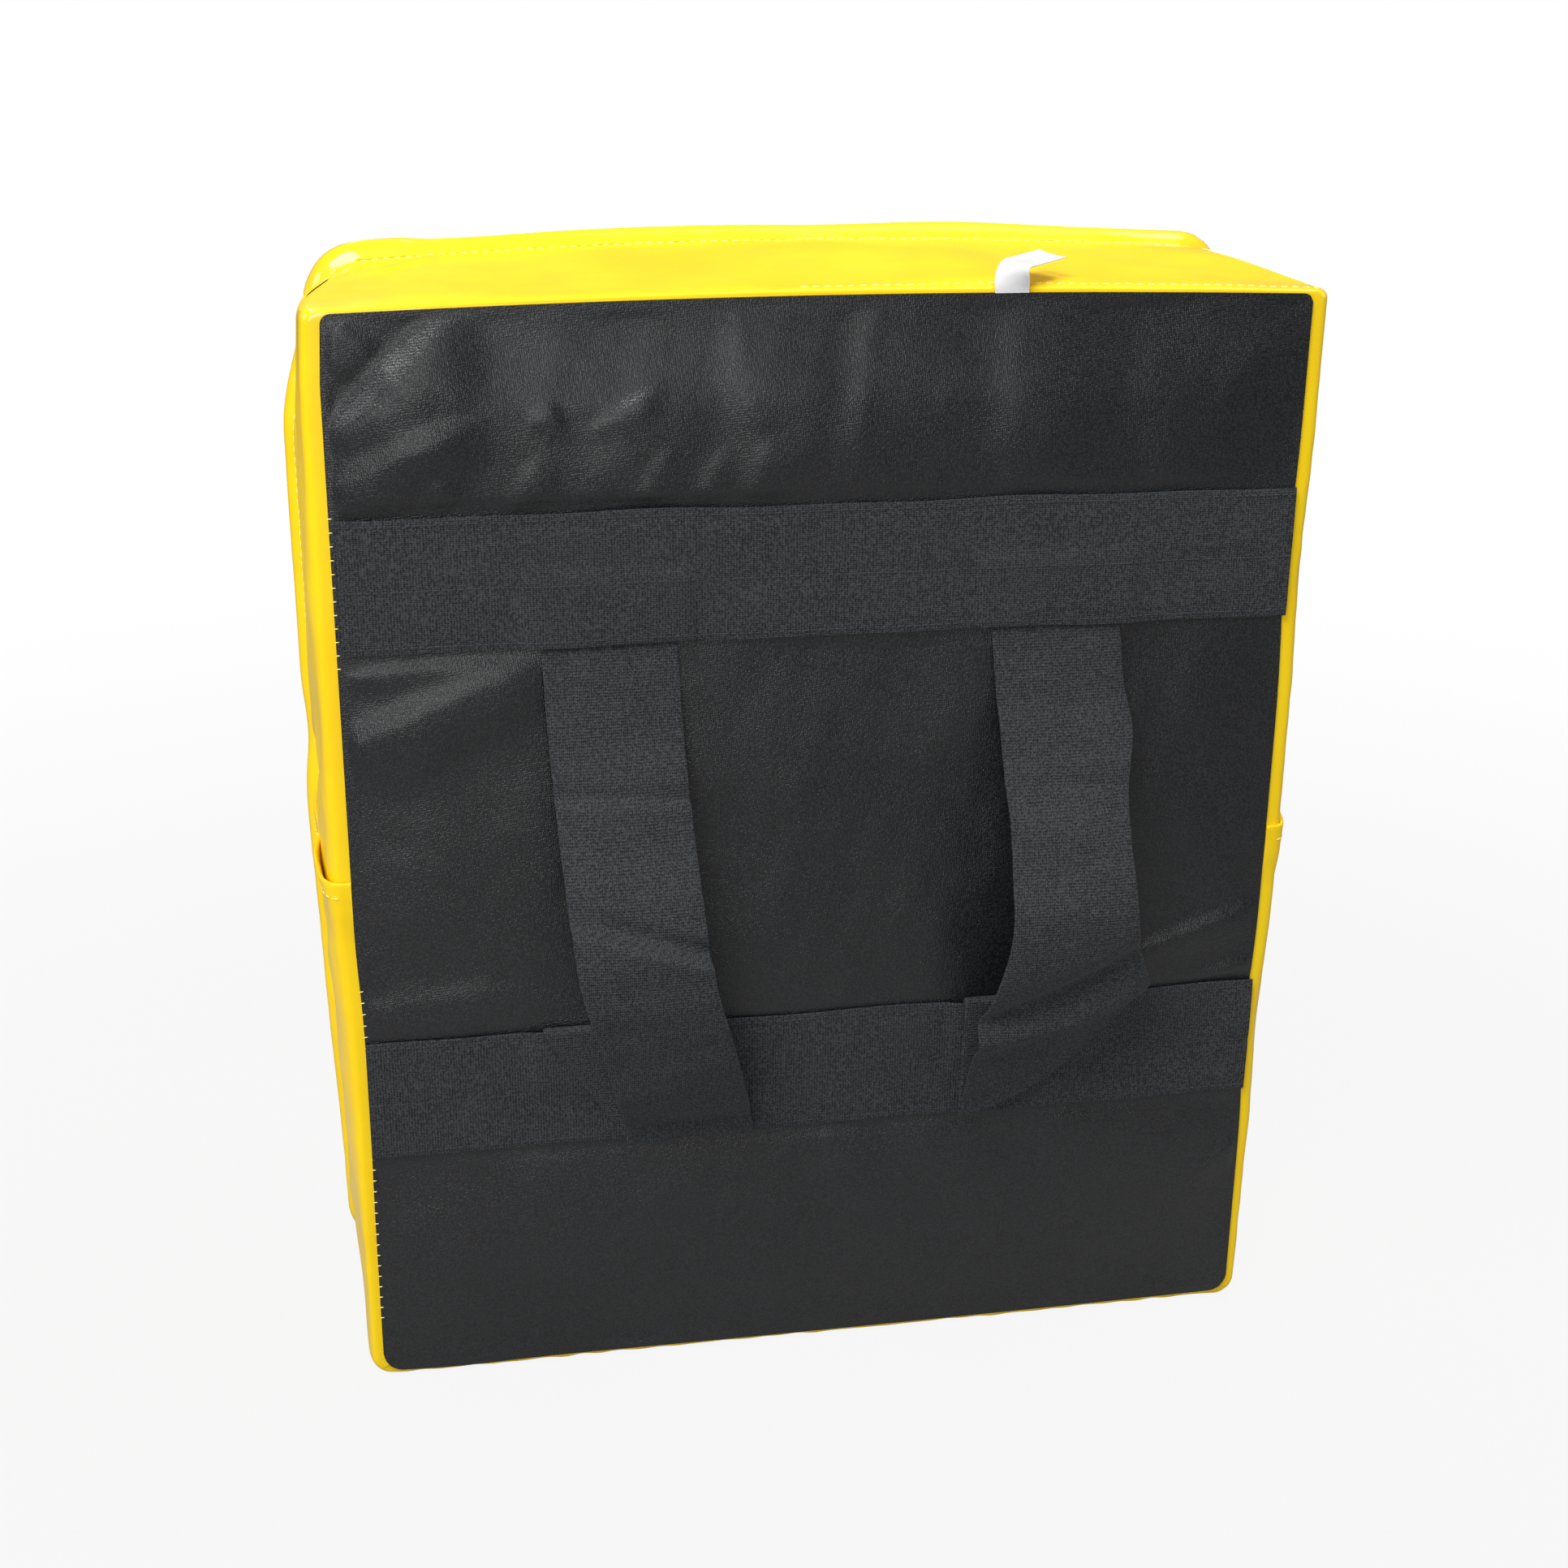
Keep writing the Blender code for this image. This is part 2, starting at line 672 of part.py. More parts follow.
class Handle:
    """One handle's sizes: where its ends are sewn, how it leans and how its fold lies."""

    def __init__(self, side, top_x, bottom_x, lean, lean_shares, fold_up_panel, fold_half, tilt):
        self.side = side
        self.top_x = top_x
        self.bottom_x = bottom_x
        self.lean = lean
        self.lean_shares = lean_shares
        self.fold_x = top_x + lean * lean_shares[-1]
        self.fold_height = PANEL_LIFT + fold_up_panel
        self.fold_half = fold_half
        self.tilt = tilt
        self.drop = UPPER_BAND_BOTTOM - self.fold_height
        self.out = HANDLE_STANDOFF - WEBBING / 2 - BAND_STANDOFF

    def grip_row(self, place):
        """The strap's cross line at a place along the grip, which turns to lie along the fold."""
        drop = between(GRIP_DROP_SHARES, place) * self.drop
        out = BAND_STANDOFF + between(GRIP_OUT_SHARES, place) * self.out
        lean = between(self.lean_shares, place) * self.lean
        turned = smooth_step((place - GRIP_SPLIT) / (len(GRIP_DROP_SHARES) - 1 - GRIP_SPLIT))
        half = WEBBING_WIDTH / 2 + (self.fold_half - WEBBING_WIDTH / 2) * turned
        centre = Vector((self.top_x + lean, BACK_Y - out, UPPER_BAND_BOTTOM - drop))
        return strap_row(centre, half, self.tilt * turned)

    def fold_rows(self):
        """The half turn at the foot of the grip, which ends behind it."""
        radius = (FOLD_STANDOFF - RETURN_STANDOFF) / 2
        middle = (FOLD_STANDOFF + RETURN_STANDOFF) / 2
        rows = []
        for step in range(TURN_STEPS + 1):
            angle = math.pi * step / TURN_STEPS
            centre = Vector((
                self.fold_x,
                BACK_Y - middle - radius * math.cos(angle),
                self.fold_height - radius * math.sin(angle),
            ))
            rows.append(strap_row(centre, self.fold_half, self.tilt))
        return rows

    def wrap_rows(self):
        """The half turn over the lower band's top edge, from the outer side to the panel."""
        radius = (RETURN_STANDOFF - BAND_STANDOFF) / 2
        middle = (RETURN_STANDOFF + BAND_STANDOFF) / 2
        rows = []
        for step in range(TURN_STEPS + 1):
            angle = math.pi * step / TURN_STEPS
            centre = Vector((
                self.bottom_x,
                BACK_Y - middle - radius * math.cos(angle),
                LOWER_BAND_TOP + radius * math.sin(angle),
            ))
            rows.append(strap_row(centre, WEBBING_WIDTH / 2))
        return rows


def sewn_row(x, height):
    return strap_row(Vector((x, BACK_Y - BAND_STANDOFF, height)), WEBBING_WIDTH / 2)


def make_handle(handle):
    """The sewn ends, the two stretches of the grip and the short return stretch."""
    side = handle.side
    step_down = Vector((0, 0, -CLEARANCE))
    top_end = [sewn_row(handle.top_x, UPPER_BAND_BOTTOM + reach) for reach in (TAB_LENGTH, CLEARANCE)]
    sheet(f"{side}_handle_top_end", top_end, WEBBING, WEBBING_BLACK, offset=0.0)
    wrap = handle.wrap_rows()
    bottom_end = wrap + [sewn_row(handle.bottom_x, LOWER_BAND_TOP - TAB_LENGTH)]
    sheet(f"{side}_handle_bottom_end", bottom_end, WEBBING, WEBBING_BLACK, offset=0.0)

    swing = pivot(f"{side}_swing_axis", Vector((handle.top_x, BACK_Y - BAND_STANDOFF, UPPER_BAND_BOTTOM)))
    upper = [handle.grip_row(GRIP_SPLIT * step / GRIP_STEPS) for step in range(GRIP_STEPS + 1)]
    knuckle_place = upper[-1][1] + Vector((0, WEBBING / 2, 0))
    upper[0] = [point + step_down for point in upper[0]]
    sheet(f"{side}_grip_upper", upper, WEBBING, WEBBING_BLACK, offset=0.0, parent=swing)

    knuckle = pivot(f"{side}_knuckle_axis", knuckle_place, parent=swing)
    rest = len(GRIP_DROP_SHARES) - 1 - GRIP_SPLIT
    lower = [handle.grip_row(GRIP_SPLIT + rest * step / GRIP_STEPS) for step in range(GRIP_STEPS + 1)]
    lower[0] = [point + step_down for point in lower[0]]
    fold = handle.fold_rows()
    sheet(f"{side}_grip_lower", lower + fold, WEBBING, WEBBING_BLACK, offset=0.0, parent=knuckle)

    return_axis = Vector((handle.bottom_x, BACK_Y - RETURN_STANDOFF - WEBBING / 2, LOWER_BAND_TOP))
    anchor = pivot(f"{side}_return_axis", return_axis)
    start = [point + 2 * step_down for point in wrap[0]]
    finish = [point - 2 * step_down for point in fold[-1]]
    stretch = [
        [above.lerp(below, step / TURN_STEPS) for above, below in zip(start, finish)]
        for step in range(TURN_STEPS + 1)
    ]
    sheet(f"{side}_handle_return", stretch, WEBBING, WEBBING_BLACK, offset=0.0, parent=anchor)


def make_label():
    """A blank tape that stands out of the top back seam and curls over to the right."""
    seam_height = PANEL_TOP + top_arch(0.0, 2 * LABEL_X / PANEL_WIDTH)
    seam = Vector((LABEL_X, BACK_Y - LABEL_THICKNESS / 2 - CLEARANCE, seam_height))
    axis = pivot("label_axis", seam)
    rows = []
    steps = 2 * (len(LABEL_UP_SHARES) - 1)
    for step in range(steps + 1):
        place = step / 2
        centre = seam + LABEL_LENGTH * Vector((
            between(LABEL_SIDE_SHARES, place),
            between(LABEL_BACK_SHARES, place),
            between(LABEL_UP_SHARES, place),
        ))
        turn = between(LABEL_TURN_SHARES, place) * math.pi / 2
        across = Vector((math.cos(turn), -math.sin(turn), 0)) * LABEL_WIDTH / 2
        rows.append([centre - across, centre + across])
    sheet("label", rows, LABEL_THICKNESS, WHITE_TAPE, offset=0.0, parent=axis)


def make_zip():
    """Two tapes, a chain of teeth, a slider with its pull, and a stop at each end."""
    middle = BACK_Y + ZIP_DEPTH
    for name, direction in (("zip_tape_rear", -1), ("zip_tape_front", 1)):
        near = middle + direction * (CHAIN_WIDTH / 2 + CLEARANCE)
        far = near + direction * TAPE_WIDTH
        low = Vector((-zip_half_length(), min(near, far), TAPE_HEIGHT - TAPE / 2))
        high = Vector((zip_half_length(), max(near, far), TAPE_HEIGHT + TAPE / 2))
        box(name, low, high, BLACK_VINYL)
    start = STOP_LENGTH - chain_half_length()
    slider_x = -start - CLEARANCE - SLIDER_LENGTH / 2
    make_chain(middle, start + CLEARANCE, slider_x)
    reach = Vector((0, CHAIN_WIDTH / 2, CHAIN_THICKNESS / 2))
    for name, x in (("zip_stop_left", start - STOP_LENGTH), ("zip_stop_right", -start)):
        place = Vector((x, middle, TAPE_HEIGHT))
        box(name, place - reach, place + reach + Vector((STOP_LENGTH, 0, 0)), STEEL, bevel=CLEARANCE)
    make_slider(Vector((slider_x, middle, TAPE_HEIGHT)))


def make_chain(middle, start, end):
    """The closed teeth: a bar whose lower face steps in and out once for each pair of teeth."""
    count = int((end - start) / TOOTH_PITCH)
    pitch = (end - start) / count
    top = TAPE_HEIGHT + CHAIN_THICKNESS / 2
    crest = TAPE_HEIGHT - CHAIN_THICKNESS / 2
    profile = []
    for tooth in range(count):
        x = start + tooth * pitch
        profile += [(x, crest), (x + pitch / 2, crest)]
        profile += [(x + pitch / 2, crest + TOOTH_DEPTH), (x + pitch, crest + TOOTH_DEPTH)]
    profile += [(end, top), (start, top)]
    rings = [
        [Vector((x, middle + side * CHAIN_WIDTH / 2, z)) for x, z in profile]
        for side in (-1, 1)
    ]
    loft("zip_chain", rings, BLACK_VINYL).data.shade_flat()


def prism(name, outline, low, high, parent):
    rings = [[Vector((x, y, z)) for x, y in outline] for z in (low, high)]
    made = loft(name, rings, STEEL, parent=parent)
    made.data.shade_flat()
    return made


def rectangle(low_x, high_x, low_y, high_y):
    return [(low_x, low_y), (high_x, low_y), (high_x, high_y), (low_x, high_y)]


def unite(base, others):
    """Joins other solids to a base, and puts them out of sight."""
    for other in others:
        union = base.modifiers.new("union", "BOOLEAN")
        union.operation = "UNION"
        union.solver = "EXACT"
        union.object = other
        other.hide_render = True
        other.display_type = "WIRE"
        PART.objects.unlink(other)
        CUTTERS.objects.link(other)


def make_slider(place):
    """Two plates joined by the wedge that parts the teeth, their flanges, and an arch that holds the pull."""
    axis = pivot("slider_axis", place)
    inside = CHAIN_THICKNESS / 2 + SLIDER_GAP
    outside = inside + SLIDER_PLATE
    left = place.x - SLIDER_LENGTH / 2
    right = place.x + SLIDER_LENGTH / 2
    half = SLIDER_WIDTH / 2
    tail = half * SLIDER_TAIL_SHARE
    y, z = place.y, place.z
    plate = [(left, y - tail), (place.x, y - tail), (right, y - half)]
    plate += [(right, y + half), (place.x, y + tail), (left, y + tail)]
    lower = prism("slider_lower_plate", plate, z - outside, z - inside, axis)
    lower.name = "zip_slider"
    others = [prism("slider_upper_plate", plate, z + inside, z + outside, axis)]
    edge = CHAIN_WIDTH / 2 + SLIDER_GAP
    slot = TAPE / 2 + SLIDER_GAP
    for direction in (-1, 1):
        rim = [(left, y + direction * tail), (place.x, y + direction * tail)]
        rim += [(place.x, y + direction * edge), (left, y + direction * edge)]
        others.append(prism("slider_rim", rim, z - inside - SLIDER_PLATE / 2, z - slot, axis))
        others.append(prism("slider_rim", rim, z + slot, z + inside + SLIDER_PLATE / 2, axis))
    wedge = WEDGE_WIDTH / 2
    wedge_start = place.x + 2 * SLIDER_GAP
    wedge_end = right - SLIDER_GAP
    diamond = [(wedge_start, y), ((wedge_start + wedge_end) / 2, y - wedge), (wedge_end, y - wedge)]
    diamond += [(wedge_end, y + wedge), ((wedge_start + wedge_end) / 2, y + wedge)]
    reach = inside + SLIDER_PLATE / 2
    others.append(prism("slider_wedge", diamond, z - reach, z + reach, axis))
    arch_low = z - outside - ARCH_ROOM - ARCH_BAR
    reach = ARCH_LENGTH / 2
    for x in (place.x - reach, place.x + reach - ARCH_BAR):
        leg = rectangle(x, x + ARCH_BAR, y - ARCH_WIDTH / 2, y + ARCH_WIDTH / 2)
        others.append(prism("arch_leg", leg, arch_low + ARCH_BAR / 2, z - outside + SLIDER_PLATE / 2, axis))
    bar = rectangle(place.x - reach, place.x + reach, y - ARCH_WIDTH / 2, y + ARCH_WIDTH / 2)
    others.append(prism("arch_bar", bar, arch_low, arch_low + ARCH_BAR, axis))
    unite(lower, others)
    make_pull(Vector((place.x, y, z - outside - ARCH_ROOM / 2)), axis)


def make_pull(place, slider_axis):
    """A flat tab whose end bar lies in the slider's arch."""
    axis = pivot("pull_axis", place, slider_axis)
    half = PULL_WIDTH / 2
    bar = PULL_BAR / 2
    hole = ARCH_WIDTH / 2 + SLIDER_GAP
    curve = bpy.data.curves.new("zip_pull", "CURVE")
    curve.dimensions = "2D"
    curve.fill_mode = "BOTH"
    curve.extrude = PULL_THICKNESS / 2
    corner = PULL_WIDTH / 4
    outer = [(bar, -half), (bar, half), (corner - PULL_LENGTH, half), (-PULL_LENGTH, half - corner)]
    outer += [(-PULL_LENGTH, corner - half), (corner - PULL_LENGTH, -half)]
    for outline in (outer, rectangle(-bar - PULL_HOLE_LENGTH, -bar, -hole, hole)):
        spline = curve.splines.new("POLY")
        spline.points.add(len(outline) - 1)
        for point, (x, y) in zip(spline.points, outline):
            point.co = (x, y, 0, 1)
        spline.use_cyclic_u = True
    curve.materials.append(STEEL)
    made = bpy.data.objects.new("zip_pull", curve)
    PART.objects.link(made)
    made.parent = axis


PART, CUTTERS = start_scene()
YELLOW = make_material("yellow_vinyl", (1.0, 0.73, 0.01), 0.35)
BLACK_VINYL = make_material("black_vinyl", (0.03, 0.03, 0.035), 0.55)
WEBBING_BLACK = make_material("black_webbing", (0.045, 0.045, 0.05), 0.85)
FOAM = make_material("firm_foam", (0.25, 0.25, 0.27), 0.95)
SOFT_FOAM = make_material("soft_foam", (0.75, 0.72, 0.62), 0.95)
WHITE_TAPE = make_material("white_tape", (0.85, 0.85, 0.85), 0.7)
STEEL = make_material("plated_zinc", (0.6, 0.6, 0.62), 0.35, 1.0)

make_foam()
make_back_panel()
make_front_panel()
make_top_gusset()
make_side_gussets(-1, "left", LEFT_LIP)
make_side_gussets(1, "right", RIGHT_LIP)
make_bottom_gussets()
band("upper_band", UPPER_BAND_BOTTOM, UPPER_BAND_BOTTOM, UPPER_TAB_TOP, (LEFT_TOP_X, RIGHT_TOP_X))
band("lower_band", LOWER_BAND_BOTTOM, LOWER_TAB_BOTTOM, LOWER_BAND_TOP, (LEFT_BOTTOM_X, RIGHT_BOTTOM_X))
LEFT_HANDLE = Handle(
    "left", LEFT_TOP_X, LEFT_BOTTOM_X, LEFT_LEAN, LEFT_LEAN_SHARES, LEFT_FOLD_UP_PANEL, LEFT_FOLD_HALF,
    LEFT_FOLD_TILT,
)
RIGHT_HANDLE = Handle(
    "right", RIGHT_TOP_X, RIGHT_BOTTOM_X, RIGHT_LEAN, RIGHT_LEAN_SHARES, RIGHT_FOLD_UP_PANEL,
    RIGHT_FOLD_HALF, RIGHT_FOLD_TILT,
)
make_handle(LEFT_HANDLE)
make_handle(RIGHT_HANDLE)
make_label()
make_zip()
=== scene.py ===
"""The looks of the tackle shield: its sewn cover, webbing, stitching and zip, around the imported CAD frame.

Metres, +Z up, the back with its handles towards -Y. "Depth" runs from the back panel towards the strike face.
"""

import math

import bpy
import numpy as np
from mathutils import Matrix, Vector


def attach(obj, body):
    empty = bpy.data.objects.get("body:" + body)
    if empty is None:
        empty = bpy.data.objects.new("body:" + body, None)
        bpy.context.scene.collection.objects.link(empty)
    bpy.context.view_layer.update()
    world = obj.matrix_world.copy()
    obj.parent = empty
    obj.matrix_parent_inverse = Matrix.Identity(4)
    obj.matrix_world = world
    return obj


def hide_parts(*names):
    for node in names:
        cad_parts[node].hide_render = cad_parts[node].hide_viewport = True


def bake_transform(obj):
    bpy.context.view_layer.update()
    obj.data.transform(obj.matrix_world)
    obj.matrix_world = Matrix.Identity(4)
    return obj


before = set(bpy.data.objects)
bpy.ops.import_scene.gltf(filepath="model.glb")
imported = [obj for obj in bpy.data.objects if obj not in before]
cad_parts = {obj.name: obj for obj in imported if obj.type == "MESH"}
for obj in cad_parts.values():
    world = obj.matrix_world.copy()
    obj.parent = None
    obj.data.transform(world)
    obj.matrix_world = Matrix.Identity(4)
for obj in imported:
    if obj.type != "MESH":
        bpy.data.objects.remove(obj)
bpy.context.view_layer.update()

# The cover, in the CAD source's own values
PANEL_WIDTH = 0.500
PANEL_HEIGHT = 0.595
PANEL_LIFT = 0.006
SEAM_DEPTH = 0.150
CROWN = 0.036
SIDE_FLARE_UPPER = 0.0200
SIDE_FLARE_LOWER = 0.0135
TAPER_HEIGHT = 0.095
TOP_RISE = 0.004
TOP_ARCH = 0.007
PANEL_ARCH = 0.0042
BACK_TOP_CORNER_RADIUS = 0.005
BACK_BOTTOM_CORNER_RADIUS = 0.011
FRONT_CORNER_RADIUS = 0.028
BOTTOM_ROUND = 0.009
VINYL = 0.0010
SEAM_GAP = 0.0005
CLEARANCE = 0.0003
PUFF_POWER = 0.20
LAP_HEIGHT = 0.294
LAP = 0.012
LAP_RAMP = 0.022
LIPS = {-1: 0.0050, 1: 0.0025}
HEM_THICKNESS = 2.2 * VINYL
HEM_STEP = 0.0022
STRIP_LOW = 0.034
FOAM_SHRINK = 0.984
FACE_PAD_SHRINK = 0.94

# The webbing and the handles
WEBBING_WIDTH = 0.070
WEBBING = 0.0018
TAB_LENGTH = 0.034
TAB_RAMP = 0.010
UPPER_BAND_UP_PANEL = 0.4245
LOWER_BAND_UP_PANEL = 0.1370
HANDLE_STANDOFF = 0.055

# A grip from the upper band to its fold: how far down, how far out and how far it leans, each as a share
GRIP_DROP = (0.0, 0.12, 0.30, 0.45, 0.575, 0.68, 0.78, 0.88, 0.96)
GRIP_OUT = (0.0, 0.10, 0.42, 0.80, 1.0, 0.95, 0.74, 0.42, 0.20)
LEFT_LEANS = (0.0, 0.03, 0.10, 0.18, 0.28, 0.48, 0.68, 0.86, 0.96, 1.0)
RIGHT_LEANS = (0.0, 0.40, 0.90, 1.0, 0.95, 0.90, 0.85, 0.80, 0.75, 0.75)
GRIP_SPLIT = 4
GRIP_LAST = len(GRIP_DROP) - 1

# The label and the zip
LABEL_X = 0.0902
LABEL_WIDTH = 0.0175
LABEL_LENGTH = 0.045
LABEL_THICKNESS = 0.0004
ZIP_DEPTH = 0.075
ZIP_RECESS = 0.0050
ZIP_END_GAP = 0.0253
ZIP_FADE = 0.022
SLOT_HALF_WIDTH = 0.0068
RECESS_FLAT = 0.020
RECESS_RAMP = 0.018
TAPE_WIDTH = 0.014
TAPE = 0.0006
CHAIN_WIDTH = 0.0060

# The strike face from its seam to its middle: each ring's size against the seam, and its share of the crown
FACE_SIZES = (1.0, 1.016, 1.021, 1.013, 0.990, 0.945, 0.850, 0.640, 0.300)
FACE_RISES = (0.0, 0.14, 0.32, 0.50, 0.66, 0.79, 0.90, 0.97, 1.0)

BACK_SEAM = VINYL + SEAM_GAP
BACK_Y = (HANDLE_STANDOFF - SEAM_DEPTH - CROWN) / 2
PANEL_TOP = PANEL_LIFT + PANEL_HEIGHT
UPPER_BAND_BOTTOM = PANEL_LIFT + UPPER_BAND_UP_PANEL
LOWER_BAND_BOTTOM = PANEL_LIFT + LOWER_BAND_UP_PANEL
LOWER_BAND_TOP = LOWER_BAND_BOTTOM + WEBBING_WIDTH
UPPER_BAND_TOP = UPPER_BAND_BOTTOM + WEBBING_WIDTH
BAND_STANDOFF = CLEARANCE + WEBBING / 2
TAB_LIFT = WEBBING + CLEARANCE
BAND_MIDDLE = BAND_STANDOFF + TAB_LIFT
RETURN_STANDOFF = BAND_MIDDLE + WEBBING + CLEARANCE
FOLD_STANDOFF = RETURN_STANDOFF + 2 * WEBBING + CLEARANCE
TAPE_HEIGHT = ZIP_RECESS + VINYL + CLEARANCE + TAPE / 2

# Stitches: pitch, length and radius of each kind, and where the rows lie
COVER_STITCH = (0.0059, 0.0041, 0.00042)
BAND_STITCH = (0.0042, 0.0031, 0.00038)
EDGE_STITCH = (0.0066, 0.0022, 0.00034)
FRONT_STITCHES = SEAM_DEPTH - 0.0050
BACK_STITCHES = 0.0072
HEM_STITCHES = LAP_HEIGHT + LAP - 0.008
BAND_STITCHES = (0.05, 0.47, 0.95)

# How finely the cover is divided, and how far up its sides the stops go between the corners
SIDE_STEPS = 110
RUN_STEPS = 96
DEPTH_STEPS = 54
SIDE_LOW = 0.035
SIDE_HIGH = PANEL_TOP - 0.030

# The camera at the photograph's place
CAMERA_PLACE = (-0.232, -1.2015, 0.7938)
CAMERA_FORWARD = (0.1688, 0.9177, -0.3597)
CAMERA_RIGHT = (0.9841, -0.1774, 0.009)
CAMERA_LENS = 53.57

# The floor, whose opening lies under the object: left, right, front and back
FLOOR_REACH = 8.0
FLOOR_HEIGHT = -0.0004
FLOOR_OPENING = (-0.235, 0.235, BACK_Y + 0.012, BACK_Y + 0.140)


# Shapes shared by the pieces

def smooth_step(share):
    """0 up to 0 and 1 from 1 on, level at both."""
    share = np.clip(share, 0.0, 1.0)
    return share * share * (3 - 2 * share)


def bump(distance, reach):
    """1 at no distance, falling smoothly to 0."""
    return np.exp(-((distance / reach) ** 2))


def between(values, place):
    """A smooth curve through evenly numbered values, read at a place among them."""
    index = min(int(place), len(values) - 2)
    share = place - index
    before = values[max(index - 1, 0)]
    after = values[min(index + 2, len(values) - 1)]
    first, second = values[index], values[index + 1]
    rise_first = (second - before) / 2
    rise_second = (after - first) / 2
    square = share * share
    cube = square * share
    return (
        (2 * cube - 3 * square + 1) * first
        + (cube - 2 * square + share) * rise_first
        + (3 * square - 2 * cube) * second
        + (cube - square) * rise_second
    )


def field(points, size, seed, stretch=(1.0, 1.0, 1.0)):
    """Smooth random waves about a size apart, mostly between -1 and 1, longer along a stretched axis."""
    count = 26
    draw = np.random.default_rng(seed)
    directions = draw.normal(size=(count, 3))
    directions /= np.linalg.norm(directions, axis=1)[:, None]
    lengths = size * draw.uniform(0.7, 1.5, count)
    waves = directions * (2 * math.pi / lengths)[:, None] / np.array(stretch)
    phase = draw.uniform(0, 2 * math.pi, count)
    return np.cos(points @ waves.T + phase).sum(axis=-1) / math.sqrt(count / 2) * 0.7


def seam_share(depth, reach):
    """How far a depth lies from the back seam towards a reach beyond it."""
    return np.clip((depth - BACK_SEAM) / reach, 0.0, 1.0)


def puff(depth):
    """How full the cover is: nothing at the back seam, and soon whole."""
    return seam_share(depth, SEAM_DEPTH - BACK_SEAM) ** PUFF_POWER


def half_width(height, depth):
    rise = smooth_step(height / LAP_HEIGHT)
    narrowing = 1 - smooth_step((PANEL_TOP - height) / TAPER_HEIGHT)
    taper = 1 - narrowing * seam_share(depth, SEAM_DEPTH - BACK_SEAM)
    flare = SIDE_FLARE_LOWER + (SIDE_FLARE_UPPER - SIDE_FLARE_LOWER) * rise
    return PANEL_WIDTH / 2 + flare * taper * puff(depth)


def side_bow(right, height):
    """How far the panel's side edge bows out, and in where a band draws it."""
    if right < 0:
        out = 0.0017 * smooth_step((height - 0.22) / 0.06) * smooth_step((0.595 - height) / 0.03)
        return out - 0.0008 * bump(height - 0.175, 0.045)
    return 0.0003 - 0.0024 * bump(height - 0.452, 0.045) - 0.0030 * bump(height - 0.185, 0.040)


def near_back(depth):
    """1 at the back seam, falling to 0 a little way from it."""
    return 1 - smooth_step(depth / 0.030)


def waist(right, height, depth):
    """The upper strips are drawn in a little just above the lap."""
    deepest = 0.0030 if right < 0 else 0.0012
    return deepest * bump(height - (LAP_HEIGHT + 0.040), 0.024) * smooth_step(depth / 0.05)


def side_place(right, height, depth):
    bow = side_bow(right, height) * near_back(depth)
    return half_width(height, depth) + bow - waist(right, height, depth)


def top_edge(depth):
    return PANEL_TOP + TOP_RISE * puff(depth)


def top_arch(depth, place):
    return (PANEL_ARCH + (TOP_ARCH - PANEL_ARCH) * puff(depth)) * (1 - place * place)


def bottom_edge(depth, place):
    """The back edge of the bottom sags a little, most near its left end."""
    sag = 0.0015 * (1 - place * place) + 0.0016 * bump(place + 0.84, 0.16)
    return (PANEL_LIFT - sag) * (1 - seam_share(depth, BOTTOM_ROUND) ** PUFF_POWER)


def corner_radius(depth, top):
    back = BACK_TOP_CORNER_RADIUS if top > 0 else BACK_BOTTOM_CORNER_RADIUS
    return back + (FRONT_CORNER_RADIUS - back) * depth / SEAM_DEPTH


def bottom_reach(depth):
    """Half the length of the bottom between its corners."""
    radius = corner_radius(depth, -1)
    lift = PANEL_LIFT * (1 - seam_share(depth, BOTTOM_ROUND) ** PUFF_POWER)
    return half_width(lift + radius, depth) - radius


ZIP_HALF_LENGTH = float(bottom_reach(ZIP_DEPTH)) - ZIP_END_GAP - ZIP_FADE


def zip_weight(x):
    """1 along the zip, fading to 0 beyond its ends."""
    return 1 - smooth_step((abs(x) - ZIP_HALF_LENGTH) / ZIP_FADE)


def zip_recess(x, depth):
    """How far the bottom is drawn up into the cover beside the zip."""
    past_flat = abs(depth - ZIP_DEPTH) - RECESS_FLAT
    return ZIP_RECESS * zip_weight(x) * (1 - smooth_step(past_flat / RECESS_RAMP))


def corner_angle(right, top, share):
    quarters = {(-1, -1): 3, (-1, 1): 2, (1, 1): 1, (1, -1): 0}
    return (quarters[right, top] - share) * math.pi / 2


def cover_point(stop, depth):
    """The cover's outer face at a stop along its edge and a depth, as in the CAD source."""
    kind = stop[0]
    if kind == "side":
        right, height = stop[1:]
        return (right * side_place(right, height, depth), BACK_Y + depth, height)
    if kind == "corner":
        right, top, share = stop[1:]
        radius = corner_radius(depth, top)
        height = top_edge(depth) - radius if top > 0 else bottom_edge(depth, right) + radius
        angle = corner_angle(right, top, share)
        x = right * (side_place(right, height, depth) - radius) + radius * math.cos(angle)
        return (x, BACK_Y + depth, height + radius * math.sin(angle))
    place = 2 * stop[1] - 1
    if kind == "bottom":
        x = -place * bottom_reach(depth)
        return (x, BACK_Y + depth, bottom_edge(depth, -place) + zip_recess(x, depth))
    radius = corner_radius(depth, 1)
    edge = top_edge(depth)
    x = place * (half_width(edge - radius, depth) - radius)
    return (x, BACK_Y + depth, edge + top_arch(depth, place))


def corner_stops(right, top, first=0.0, last=1.0, steps=12):
    return [("corner", right, top, share) for share in np.linspace(first, last, steps + 1)]


def corner_start(right, top):
    """Stops up to the corner's middle, where two strips meet."""
    return corner_stops(right, top, 0.0, 0.499, 8)


def corner_end(right, top):
    return corner_stops(right, top, 0.501, 1.0, 8)


def side_stops(right, low, high, steps):
    return [("side", right, height) for height in np.linspace(low, high, steps + 1)]


def run_stops(kind, steps):
    return [(kind, share) for share in np.linspace(0, 1, steps + 1)]


